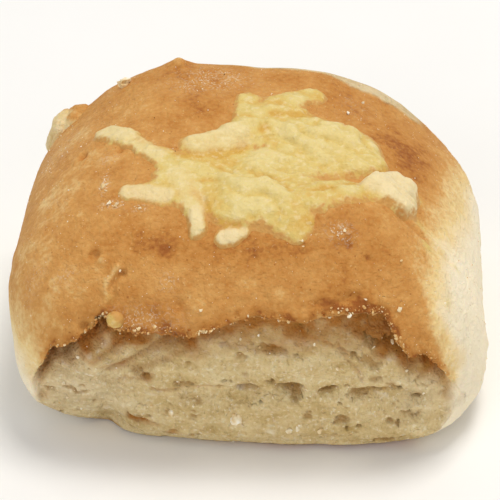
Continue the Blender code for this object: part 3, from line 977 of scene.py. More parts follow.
@dataclass
class Pores:
    """Holes of the torn crumb: named ones, and a seeded scatter of small ones."""

    # Named pores in millimetres: x, z, half width, half height, depth.
    named: Rows = table(
        left_long=(-30.4, 8.8, 1.2, 0.5, 0.8),
        left_small=(-27.5, 9.7, 0.8, 0.4, 0.5),
        fold_pit=(-13.9, 14.5, 0.9, 0.8, 0.55),
        under_fold=(-8.4, 13.1, 1.1, 0.6, 0.9),
        middle_oval=(2.6, 13, 2.2, 1.1, 1.2),
        middle_top=(1.5, 20, 0.8, 0.9, 0.8),
        ochre_slot=(6.3, 21.2, 2.2, 0.6, 0.7),
        round_pit=(10.7, 20, 0.6, 0.6, 0.6),
        right_oval=(9.4, 13.2, 2.4, 1.1, 1.4),
        orange_pit=(16.7, 13.6, 1.3, 0.9, 1.3),
        right_gap=(21.2, 12.3, 1.8, 0.8, 1.1),
        right_round=(23.3, 18, 0.5, 0.5, 0.6),
        patch_hole=(23.2, 22, 0.9, 0.9, 1.4),
        patch_hole_right=(24.9, 22.3, 0.7, 0.8, 1.2),
        far_gap=(27.7, 13.4, 0.9, 0.5, 0.9),
        corner_gap=(30.5, 11.2, 1.3, 0.6, 1),
        corner_tall=(31.8, 17.4, 0.9, 1.9, 0.4),
        low_round=(18.7, 7.1, 1.1, 1, 1.1),
        low_dark=(21.2, 6, 0.6, 0.4, 0.8),
        low_right=(26.3, 7, 0.8, 0.6, 0.9),
        low_far=(28.7, 8.5, 1.6, 0.5, 0.8),
        foot_orange=(-15.1, 5.7, 1.6, 0.3, 0.3),
        foot_orange_small=(-9.4, 3.8, 0.9, 0.3, 0.3),
        bead_cave=(-20.8, 24.9, 0.9, 1.6, 2.2),
        corner_cave=(-28, 17.6, 2.2, 1.2, 1.1),
    )
    deeper: float = 1.0
    scattered: int = 85
    seed: int = 12
    ragged: Noise = Noise(1.25, 1.3, 71)
    # The lowest scattered pores in millimetres, and how wide and how long they are.
    lowest: float = 2.0
    widths: Line = (0.2, 0.45)
    lengths: Line = (1.0, 2.2)
    depth_for_width: float = 0.9
    # Where a pore's wall begins and ends, as a share of its half size.
    wall: Line = (1.15, 0.45)

    def every(self, half_width: float, top: float) -> list[Line]:
        """The named pores and the scattered ones.

        Args:
            half_width: How far the torn face reaches to each side, in millimetres.
            top: How high it reaches, in millimetres.

        Returns:
            Each pore's x, z, half width, half height and depth in millimetres.
        """
        dice = np.random.default_rng(self.seed)
        pores = list(self.named.values())
        for _ in range(self.scattered):
            x = dice.uniform(-half_width, half_width)
            z = dice.uniform(self.lowest, top)
            high = self.widths[0] + self.widths[1] * dice.random() ** 3
            wide = high * dice.uniform(*self.lengths)
            pores.append((x, z, wide, high, high * self.depth_for_width))
        return pores

    def dig(self, x: Array, z: Array, pores: list[Line]) -> tuple[Array, Array]:
        """How deep the pores are, and how far inside them each place lies.

        Args:
            x: Places across the face.
            z: Heights on the face.
            pores: What every() gives.

        Returns:
            The depth in metres, and a share from 0 to 1.
        """
        depth = np.zeros_like(x)
        inside = np.zeros_like(x)
        ragged = 1.0 + self.ragged.at(upright(0.6 * x, z))
        for pore_x, pore_z, wide, high, deep in pores:
            near = (np.abs(x / MM - pore_x) < 2 * wide) & (np.abs(z / MM - pore_z) < 2 * high)
            away = np.hypot((x[near] / MM - pore_x) / wide, (z[near] / MM - pore_z) / high)
            share = smooth_step(*self.wall, away * ragged[near])
            depth[near] = np.maximum(depth[near], self.deeper * deep * MM * share)
            inside[near] = np.maximum(inside[near], share)
        return depth, inside


def around_spots(points: Array, spots: Rows) -> Array:
    """The sum of small round spots.

    Args:
        points: Places on the bun.
        spots: In millimetres: centre x, y and z, reach, then the amount.

    Returns:
        The sum at each place.
    """
    total = np.zeros(len(points))
    for centre_x, centre_y, centre_z, reach, amount in spots.values():
        away = np.linalg.norm(points / MM - (centre_x, centre_y, centre_z), axis=1)
        total += amount * bell(away, 0, reach)
    return total


def along_path(points: Array, path: list[Line], reach: float) -> Array:
    """How near each place lies to a path of straight stretches.

    Args:
        points: Places on the bun.
        path: The path's corners in millimetres.
        reach: Distance in millimetres over which the nearness falls off.

    Returns:
        1 on the path, falling away smoothly.
    """
    nearest = np.full(len(points), np.inf)
    for start, end in zip(np.array(path[:-1]), np.array(path[1:])):
        along = end - start
        share = np.clip((points / MM - start) @ along / (along @ along), 0, 1)
        away = np.linalg.norm(points / MM - start - share[:, None] * along, axis=1)
        nearest = np.minimum(nearest, away)
    return bell(nearest, 0, reach)


@dataclass
class TornCrumb:
    """Torn dough: flakes that overlap like shingles, lumps, grit, brown stains and painted shade.
    """

    flake: float = 0.5 * MM
    flake_gap: float = 3.4 * MM
    fold_slope: float = 0.55
    fold_at: Line = (-14.0 * MM, 18.0 * MM)
    fold_reach: Line = (9.0 * MM, 8.0 * MM)
    flake_wander: Noise = Noise(1.2, 5.0, 0, 4)
    # Where along a flake it drops off, and the level that stays where it was.
    flake_end: Line = (0.84, 1.0)
    flake_middle: float = 0.4
    # Patches that have flakes: the noise, and where it begins and is full.
    patchy: Noise = Noise(1.0, 7.0, 5, 1)
    patchy_from: Line = (-0.25, 0.45)
    lump: Noise = Noise(0.5 * MM, 2.2, 6)
    grit: Noise = Noise(0.2 * MM, 0.8, 9, 2)
    # The flakes' pale rims, partly painted highlight on their edges: where along a flake,
    # and the noises that break them.
    rim_at: Line = (0.82, 0.06)
    rim_gaps: Noise = Noise(1.0, 2.5, 7, 1)
    rim_gaps_from: Line = (-0.1, 0.4)
    rim_crumbs: Noise = Noise(1.0, 0.8, 8, 1)
    rim_crumbs_from: Line = (-0.1, 0.5)
    fold_bend: Noise = Noise(0.6, 2.0, 93)
    ridge_crumbs: Noise = Noise(1.0, 0.8, 94, 1)
    stain_wander: Noise = Noise(0.8, 2.4, 91)
    # Painted shade in a band under the overhanging lip: how dark, then how far below the lip its
    # middle lies and how far it reaches.
    under_lip: float = 0.9
    shade_under_lip_at: Line = (0.6 * MM, 4.6 * MM)
    # How far below the lip the flakes' rims begin to be pale, and where they are.
    rims_below_lip: Line = (2.0 * MM, 5.0 * MM)
    # Fine folds in millimetres: start x, start z, end x, end z, reach, depth.
    folds: Rows = table(
        by_corner=(-22.8, 16.6, -16, 22.6, 0.5, 0.6),
        long=(-20.6, 13.9, -8.4, 22.6, 0.45, 0.7),
        inner=(-16, 15.2, -6.6, 20.6, 0.4, 0.5),
        low=(-18.6, 12.8, -12.4, 15.4, 0.4, 0.5),
        under_fold=(-13, 12, -3, 12.6, 0.4, 0.6),
        foot=(-17.4, 6.2, -12.2, 4.4, 0.5, 0.6),
        right_of_slot=(11, 24, 20, 20.5, 0.4, 0.4),
        under_patch=(17.5, 22.5, 21.5, 15.5, 0.4, 0.4),
    )
    # How much painted shade darkens the folds, and the depth at which it is that dark.
    fold_shade: float = 0.35
    fold_full: float = 0.5 * MM
    # A pale torn ridge in millimetres: start x, start z, end x, end z, reach.
    pale_ridge: Line = (-23.4, 17.8, -16.8, 23.4, 0.3)
    # Paler patches in millimetres: x, z, reach x, reach z, amount.
    bleached: Rows = table(
        left_low=(-26, 9.5, 9, 7, 0.3),
        far_right=(31, 12, 4.5, 5, 0.2),
    )
    # Browned patches, and painted shade in caves, pores and folds and under the lip,
    # in millimetres: x, z, reach x, reach z, amount.
    stains_and_shade: Rows = table(
        torn_patch=(23.4, 25, 3.6, 2.6, 1.4),
        torn_patch_foot=(24.8, 21.6, 2, 1.9, 1.1),
        torn_patch_edge=(28.2, 21, 1.5, 2.4, 1.1),
        left_haze=(-25, 20.5, 6, 3.2, 0.4),
        right_haze=(15, 24, 12, 3.4, 0.24),
        corner_lobe=(-23.6, 20.6, 2.4, 2.6, 0.45),
        bead_cave=(-20.6, 24.8, 0.9, 1.9, 0.9),
        corner_cave=(-28.2, 19.6, 2.6, 1.9, 0.9),
        foot_spot=(-15.6, 5.5, 2, 0.35, 1),
        foot_spot_right=(-9.8, 3.4, 1.2, 0.4, 1),
        ochre_slot=(6.3, 21.2, 2.3, 0.7, 0.7),
        fold_streak=(-16, 20.5, 2.6, 0.6, 0.5),
        fold_streak_low=(-19.4, 15.6, 2, 0.5, 0.55),
        spot_by_fold=(-13.6, 14, 1, 0.9, 0.45),
        spot_in_middle=(-6.2, 20.7, 1.2, 1.4, 0.4),
        left_edge=(-31.6, 7, 1.2, 1.2, 0.6),
        tall_pore=(31.9, 17.4, 0.9, 2, 1),
        under_lip_left=(-13, 23.5, 5, 1.2, 0.3),
        under_lip_middle=(8, 26.2, 6, 1.2, 0.35),
        under_lip_right=(16.5, 26.4, 2.5, 1, 0.4),
        slanting_fold=(-17.5, 15.5, 2.5, 1.2, 0.35),
        middle_spot=(-4, 23, 2, 1.5, 0.3),
        right_middle=(20, 17, 6, 3.5, 0.12),
    )

    def relief(self, x: Array, z: Array, seed: int) -> tuple[Array, Array]:
        """Flakes, lumps and grit of a torn face, outwards.

        Args:
            x: Places across the face.
            z: Heights on the face.
            seed: Which crumb.

        Returns:
            The relief in metres, and a share for the flakes' pale rims, partly painted highlight.
        """
        side, rise = x - self.fold_at[0], z - self.fold_at[1]
        slope = self.fold_slope * bell(side, 0, self.fold_reach[0])
        slope = slope * bell(rise, 0, self.fold_reach[1])
        u = side * np.cos(slope) + rise * np.sin(slope)
        v = rise * np.cos(slope) - side * np.sin(slope)
        still = np.full_like(x, seed * 0.1)
        even = np.column_stack((x, still, z))
        flat = np.column_stack((0.4 * u, still, v))
        layer = -v / self.flake_gap + self.flake_wander.at(flat, seed)
        part = layer - np.floor(layer)
        patchy = smooth_step(*self.patchy_from, self.patchy.at(even, seed))
        shingle = part - smooth_step(*self.flake_end, part) - self.flake_middle
        relief = self.flake * patchy * shingle
        relief += self.lump.at(flat, seed)
        relief += self.grit.at(even, seed)
        broken = smooth_step(*self.rim_gaps_from, self.rim_gaps.at(even, seed))
        broken = broken * smooth_step(*self.rim_crumbs_from, self.rim_crumbs.at(even, seed))
        return relief, patchy * broken * bell(part, *self.rim_at)

    def folded(self, x: Array, z: Array) -> tuple[Array, Array]:
        """The front's fine folds.

        Args:
            x: Places across the face.
            z: Heights on the face.

        Returns:
            Their depth in metres, and a share that marks the pale ridge.
        """
        flat = upright(x, z)
        bend = self.fold_bend.at(flat)
        u, v = x / MM + bend, z / MM + bend
        depth = np.zeros_like(x)
        for *ends, reach, deep in self.folds.values():
            depth += deep * MM * bell(away_from_line(u, v, ends[:2], ends[2:]), 0, reach)
        *ends, reach = self.pale_ridge
        ridge = bell(away_from_line(u, v, ends[:2], ends[2:]), 0, reach)
        crumbs = smooth_step(*self.rim_crumbs_from, self.ridge_crumbs.at(flat))
        return depth, ridge * crumbs

    def stain(self, x: Array, z: Array, under_lip: Array) -> Array:
        """How browned the front is, with painted shade under the lip, in caves, pores and folds.

        Args:
            x: Places across the face.
            z: Heights on the face.
            under_lip: How far below the lip each place lies.

        Returns:
            A share from 0 to 1.
        """
        wander = 1.0 + self.stain_wander.at(upright(x, z))
        total = self.under_lip * bell(under_lip, *self.shade_under_lip_at)
        total += soft_patches(x, z, self.stains_and_shade)
        return np.clip(total * wander, 0, 1)


@dataclass
class BakedCrust:
    """Browning, flour and marks of the crust."""

    middle: float = 0.60
    # Roughness in millimetres of the band over the lip, of its brink, of the pale side
    # and of the whole crust.
    front_from: Line = (-27.0 * MM, -31.0 * MM)
    lip_band: Line = (1.6 * MM, 2.2 * MM)
    lip_band_rough: Noise = Noise(0.55, 2.4, 35)
    lip_brink: Line = (0.5 * MM, 0.9 * MM)
    lip_brink_rough: Noise = Noise(0.4, 1.1, 39)
    side_from: Line = (31.0 * MM, 36.0 * MM)
    side_rough: Noise = Noise(0.3, 2.2, 37)
    side_fine: Noise = Noise(0.16, 0.9, 38, 2)
    rough: Noise = Noise(0.10, 2.6, 33)
    # The browning ends at the pale right side, in millimetres: at this x, how it wavers,
    # and the y or z past which it leans, each with how much for each millimetre.
    pale_from: float = 31.8
    pale_wander: Noise = Noise(2.2, 9.0, 81, 4)
    pale_behind: Line = (-15.0, 0.15)
    pale_front_low: Line = (29.5, 0.28)
    pale_beside_low: Line = (24.0, 0.4)
    # The y between which the front and the side beside it begin, in millimetres.
    pale_front: Line = (-25.0, -29.0)
    pale_beside: Line = (-28.0, -22.0)
    # How far the change reaches to each side, and how much sharper it is on the front.
    pale_soft: Line = (5.5, 6.0)
    pale_front_sharper: float = 0.5
    # The right corner is pale low down, in millimetres: from these x, below these z.
    pale_corner: Line = (28.0, 33.0)
    pale_corner_low: Line = (11.0, 18.0)
    # It also ends low down, in millimetres: at these z on the left, at these at the back.
    left_low: Line = (10.0, 27.0)
    left_low_wander: float = 1.5
    left_low_lean: Line = (38.0, 0.45)
    back_low: Line = (20.0, 29.0)
    back_from: Line = (24.0, 31.0)
    blotches: Noise = Noise(0.12, 7.0, 83)
    fine_blotches: Noise = Noise(0.12, 2.2, 87)
    # How much lumps and ridges are painted paler as light and pits and creases browner,
    # partly as shade; and how much browner the lip's brink is.
    marks_shade_and_light: float = 0.45
    folds_shade_and_light: float = 0.5
    brink_at: Line = (0.4 * MM, 1.0 * MM)
    brink: float = 0.2
    brink_blotches: Noise = Noise(0.5, 1.2, 89)
    dusty: float = 0.8
    dust_breaks: Noise = Noise(0.9, 1.6, 95)
    # More or less browning in plan, in millimetres: x, y, reach x, reach y, amount.
    browned: Rows = table(
        front_band=(-13, -27.5, 13, 3.4, 0.24),
        front_band_right=(4, -29, 10, 2.6, 0.10),
        right_of_cheese=(26.5, 4, 6, 10, 0.26),
        right_front_lobe=(19, -26, 7, 5, 0.16),
        lip_right=(22, -33.5, 9, 2.4, 0.18),
        lip_left=(-13, -36, 12, 1.8, 0.16),
        top_left=(-10, 8, 7, 5, 0.10),
        left_light=(-32, -24, 6, 14, -0.12),
        left_top=(-28, -11, 5, 8, -0.08),
        left_front=(-25, -33.5, 6, 3, -0.05),
        left_back=(-33, 6, 5, 8, -0.08),
        back_top=(2, 18, 22, 5, 0.12),
        peak=(-15, 17, 6, 5, 0.12),
        behind_cheese=(16, 12, 6, 3.5, 0.12),
        over_strand=(-9, 2, 6, 4, 0.10),
    )
    # Flour in plan, in millimetres: x, y, reach x, reach y, amount.
    floured: Rows = table(
        left_shoulder=(-33.5, 4, 3.5, 6, 0.35),
        left_side=(-31.5, -16, 3, 8, 0.08),
        back_haze=(-7.5, 15.5, 6, 3.5, 0.5),
        peak_streak=(-10, 12, 5, 3, 0.35),
        left_streak=(-22.6, -15.6, 0.7, 2.2, 1.3),
        dab_streak=(-20.8, -20.6, 1.6, 0.7, 1.2),
        dab_streak_right=(-16, -21.6, 1.5, 0.5, 0.9),
        ribbon_left=(-23, -9, 1.5, 1.2, 0.6),
        lobe_flake=(17, -25.4, 2.2, 1.5, 0.6),
        left_mark=(-32.7, -28.8, 1.6, 1.8, 0.6),
        left_mark_middle=(-27.2, -31.1, 1.6, 1, 0.6),
        front_mark=(-10.3, -32.8, 1.5, 1.2, 0.5),
        lip_mark=(-13.5, -36.4, 5, 1, 0.6),
        top_right=(17.5, 13, 3, 3.5, 0.25),
    )
    # Pits and lumps in millimetres: x, y, z, reach, height.
    marks: Rows = table(
        ribbon_hole=(-27.9, -5.1, 37.8, 0.75, -1.3),
        ribbon_hole_rim=(-29.2, -5.3, 37.3, 0.8, 0.5),
        under_ribbon=(-21.2, -6.6, 40.2, 0.7, -0.8),
        crater=(-22.6, -29, 34, 0.8, -1.2),
        crater_rim=(-21.2, -29.8, 33.7, 0.8, 0.7),
        knot=(-18.6, -31.2, 33.2, 0.7, 0.6),
        knot_hole=(-17.5, -31.8, 32.7, 0.5, -0.9),
        lip_dimple=(-8.2, -35.1, 29.4, 1, -0.7),
        lip_swell=(-5.5, -35.6, 28.6, 1.4, 0.5),
        front_dimple=(-10.8, -29.4, 34.8, 1.3, -0.2),
        lip_hollow_right=(20.5, -34, 30.5, 1.6, -0.5),
        lip_swell_right=(24.5, -32.4, 30.6, 1.5, 0.5),
        lobe_dimple=(18.8, -27, 36.9, 0.9, -0.45),
        lobe_wrinkle=(21.8, -27.9, 35.3, 0.8, -0.35),
        left_dimple=(-31, -22, 34, 1.3, -0.3),
        bead_hole=(-20.7, -36.6, 26, 0.9, -1.2),
        lip_hole=(-23.7, -36.6, 25.2, 0.7, -1),
        peak_nub=(-14.2, 20, 43.2, 1.1, 0.9),
    )
    # Folds and cracks along paths: corners in millimetres, reach, height.
    folds: dict[str, tuple[list[Line], float, float]] = table(
        bead_fold=(
            [(-17.9, -31.7, 32.8), (-19.4, -33.3, 31), (-18.8, -34.5, 29.8),
             (-19.6, -35.6, 28.2)], 0.5, -0.55,
        ),
        bead_fold_ridge=(
            [(-18.9, -31.5, 33.2), (-20.3, -33.1, 31), (-19.9, -34.7, 29.6)], 0.6, 0.4,
        ),
        peak_crack=(
            [(-14.2, 18.5, 42.6), (-14, 15.1, 42.7), (-11.4, 12.9, 42.8),
             (-9.1, 10.5, 42.8)], 0.45, -0.45,
        ),
        right_crease=(
            [(26.5, -16.8, 37), (29.5, -18.2, 35.2), (32, -18.6, 33),
             (35, -18, 29)], 1.1, -0.9,
        ),
        right_crease_back=(
            [(27.5, -13.5, 36.5), (30.4, -14.6, 34), (33.5, -13, 30.8)], 0.8, -0.4,
        ),
        lip_wrinkle=(
            [(13, -34.4, 30.4), (18, -34, 30.6), (20.5, -32.5, 31.6)], 0.6, -0.35,
        ),
    )
    # Bits of cheese baked into the pale side, in millimetres: x, y, z, reach, amount.
    cheesy: Rows = table(
        crease_bit=(30.4, -14.8, 34, 1.5, 1),
        lump_bit=(29.2, -8.6, 34.4, 1, 0.8),
        side_bit=(31.1, -20.5, 33.4, 1.1, 0.9),
        side_bit_right=(34.1, -17.8, 30.4, 0.9, 0.8),
        side_bit_far=(36.2, -18, 27.5, 0.8, 0.7),
        side_bit_low=(34.8, -27, 26.5, 1, 0.6),
        bead_fold=(-19.3, -34.6, 29.6, 0.7, 0.35),
        lip_hole=(-22.2, -36.4, 24.8, 1, 0.4),
    )

    def relief(self, points: Array, over_lip: Array) -> Array:
        """Marks, folds and the rough band along the lip, outwards.

        Args:
            points: Places on the bun.
            over_lip: How far above the lip each place of the front lies.

        Returns:
            The relief in metres.
        """
        total = around_spots(points, self.marks)
        for path, reach, height in self.folds.values():
            total += height * along_path(points, path, reach)
        front = smooth_step(*self.front_from, points[:, 1])
        total += front * bell(over_lip, *self.lip_band) * self.lip_band_rough.at(points)
        total += front * bell(over_lip, *self.lip_brink) * self.lip_brink_rough.at(points)
        side = smooth_step(*self.side_from, points[:, 0])
        total += side * (self.side_rough.at(points) + self.side_fine.at(points))
        return (total + self.rough.at(points)) * MM

    def browning(self, points: Array, over_lip: Array) -> Array:
        """How far the crust has browned, with painted shade in pits and creases, light on lumps.

        Args:
            points: Places on the finished bun.
            over_lip: How far above the lip each place of the front lies.

        Returns:
            A share from 0, pale, to 1, dark brown.
        """
        x, y, z = points.T / MM
        wander = self.pale_wander.at(points)
        behind, lean = self.pale_behind
        edge = self.pale_from + lean * np.maximum(y - behind, 0) + wander
        front = smooth_step(*self.pale_front, y)
        level, lean = self.pale_front_low
        edge = edge + lean * np.maximum(0, level - z) * front
        level, lean = self.pale_beside_low
        edge = edge - lean * np.maximum(0, level - z) * smooth_step(*self.pale_beside, y)
        soft = 1 - self.pale_front_sharper * front
        inner, outer = self.pale_soft
        right = 1 - smooth_step(edge - inner * soft, edge + outer * soft, x)
        corner = smooth_step(*self.pale_corner, x)
        right = right * (1 - corner + corner * smooth_step(*self.pale_corner_low, z))
        side, lean = self.left_low_lean
        left_low = z + self.left_low_wander * wander + lean * (x + side)
        back = smooth_step(*self.back_from, y)
        low = smooth_step(*self.left_low, left_low) * (1 - back)
        low = low + smooth_step(*self.back_low, z + wander) * back
        amount = self.middle + soft_patches(*points.T[:2], self.browned)
        amount = amount + self.blotches.at(points) + self.fine_blotches.at(points)
        # Pits and creases browner, partly caramel and partly painted shade; lumps and ridges
        # paler as painted light.
        marks = np.clip(around_spots(points, self.marks), -1, 0.6)
        amount = amount - self.marks_shade_and_light * marks
        for path, reach, height in self.folds.values():
            amount = amount - self.folds_shade_and_light * height * along_path(points, path, reach)
        brink = smooth_step(*self.front_from, points[:, 1]) * bell(over_lip, *self.brink_at)
        amount = amount + brink * (self.brink + self.brink_blotches.at(points))
        return np.clip(amount * right * low, 0, 1)

    def dusting(self, points: Array) -> Array:
        """How floury each place of the crust is, from 0 to 1."""
        broken = self.dusty + self.dust_breaks.at(points)
        return np.clip(soft_patches(*points.T[:2], self.floured) * broken, 0, 1)


@dataclass
class Bun:
    """The bun at a fine grain, with the fields that its finish reads."""

    form: BunForm = field(default_factory=BunForm)
    pores: Pores = field(default_factory=Pores)
    crumb: TornCrumb = field(default_factory=TornCrumb)
    crust: BakedCrust = field(default_factory=BakedCrust)
    finish: BunFinish = BunFinish()
    cuts_across: int = 224
    cuts_deep: int = 124
    rows_below_lip: int = 72
    rows_over_lip: int = 24
    closer: float = 0.3
    # How far the torn front reaches to each side and up, in millimetres.
    face: Line = (33.0, 27.0)
    # The torn strip's share of pale rims and of stain, and the browned foot.
    strip_share: float = 0.2
    foot_share: float = 0.75
    foot_from: Line = (0.2 * MM, 1.1 * MM)
    points: Array = field(init=False)
    quads: Array = field(init=False)
    over_lip: Array = field(init=False)
    fields: dict[str, Array] = field(default_factory=dict)

    def levels(self) -> tuple[Array, Array, Array]:
        """Cutting levels of the block, closer together at the front and the edges."""
        across = np.linspace(-1, 1, self.cuts_across + 1)
        across = across + self.closer * np.sin(np.pi * across) / np.pi
        deep = np.linspace(-1, 1, self.cuts_deep + 1)
        deep = deep + self.closer * np.sin(np.pi * deep) / np.pi
        below = np.linspace(-1, self.form.lip_row, self.rows_below_lip + 1)
        over = np.linspace(self.form.lip_row, 1, self.rows_over_lip + 1)[1:]
        return across, deep, np.concatenate((below, over))

    def tear(self, points: Array) -> Array:
        """Tears the front and the back away below the crust, and notes where.

        Args:
            points: Places on the rounded body.

        Returns:
            The places after the tear.
        """
        form = self.form
        x, y, z = points.T
        pit, inside = self.pores.dig(x, z, self.pores.every(*self.face))
        flakes, rim = self.crumb.relief(x, z, 51)
        folds, ridge = self.crumb.folded(x, z)
        front_y = form.front_face(points) - flakes + pit + folds
        lip = form.lip_height(x)
        under = 1.0 - smooth_step(lip - form.lip_thickness, lip - 0.1 * form.lip_thickness, z)
        under = under * smooth_step(*form.tear_left, x)
        end = form.tear_right + form.tear_right_wander.at(points)
        front = under * smooth_step(*form.tear_rim, front_y - y)
        outer, inner = form.tear_right_fade
        front = front * smooth_step(end + outer, end + inner, x)
        y = y + (np.maximum(y, front_y) - y) * under
        flakes, back_rim = self.crumb.relief(x, z, 61)
        back_y = form.back_face(points) + flakes
        edge = form.back_lip + form.back_lip_ragged.at(points)
        below = 1.0 - smooth_step(edge - form.lip_thickness, edge + form.lip_thickness, z)
        back = below * smooth_step(*form.tear_rim, y - back_y)
        y = y + (np.minimum(y, back_y) - y) * below
        self.fields["torn"] = np.clip(front + back, 0, 1)
        # Painted shade inside the pores, darkest at their middle.
        self.fields["pore"] = np.clip(inside, 0, 1) * front
        # Pale flake rims, partly painted highlight, cleared near the lip where shade falls.
        clear = smooth_step(*self.crumb.rims_below_lip, lip - z)
        rim = np.maximum(rim * clear, ridge) + soft_patches(x, z, self.crumb.bleached)
        self.fields["rim"] = np.clip(rim, 0, 1) * front + back_rim * back
        # Painted shade in the folds, darker where they are deeper.
        stain = self.crumb.fold_shade * folds / self.crumb.fold_full
        # Brown stains, and painted shade under the lip, in caves and in pores.
        stain += self.crumb.stain(x, z, lip - z)
        self.fields["stain"] = np.clip(stain, 0, 1) * front
        return np.column_stack((x, y, z))

    def build(self) -> bpy.types.Object:
        """Builds the bun's piece.

        Returns:
            The finished object.
        """
        form = self.form
        block, self.quads = grid_of_block(*self.levels())
        body = form.rounded_body(form.rows_on_lip(block))
        self.over_lip = body[:, 2] - form.lip_height(body[:, 0])
        points = form.add_swells(self.tear(body))
        strip = np.maximum(form.past_back_seam(points), form.in_corner_tear(points))
        torn = np.maximum(self.fields["torn"], strip)
        self.fields["torn"] = torn
        for name in ("rim", "stain"):
            self.fields[name] = np.maximum(self.fields[name], self.strip_share * strip)
        relief = form.crust_relief.at(points)
        relief = relief * smooth_step(*form.crust_relief_from, points[:, 2])
        relief += self.crust.relief(points, self.over_lip) * (1 - torn)
        points = points + normals_of(points, self.quads) * relief[:, None]
        points[:, 2] = np.maximum(points[:, 2], 0.0)
        self.points = points
        self.fields["baked"] = self.crust.browning(points, self.over_lip)
        self.fields["flour"] = self.crust.dusting(points) * (1 - torn)
        self.fields["cheesy"] = np.clip(around_spots(points, self.crust.cheesy), 0, 1)
        foot = 1 - smooth_step(*self.foot_from, points[:, 2])
        self.fields["foot"] = self.foot_share * foot
        mesh = mesh_from("bun", points, self.quads)
        for name, values in self.fields.items():
            write_field(mesh, name, values)
        mesh.materials.append(self.finish.make())
        return add_object("bun", mesh)


# ---------------------------------------------------------------- the cheese


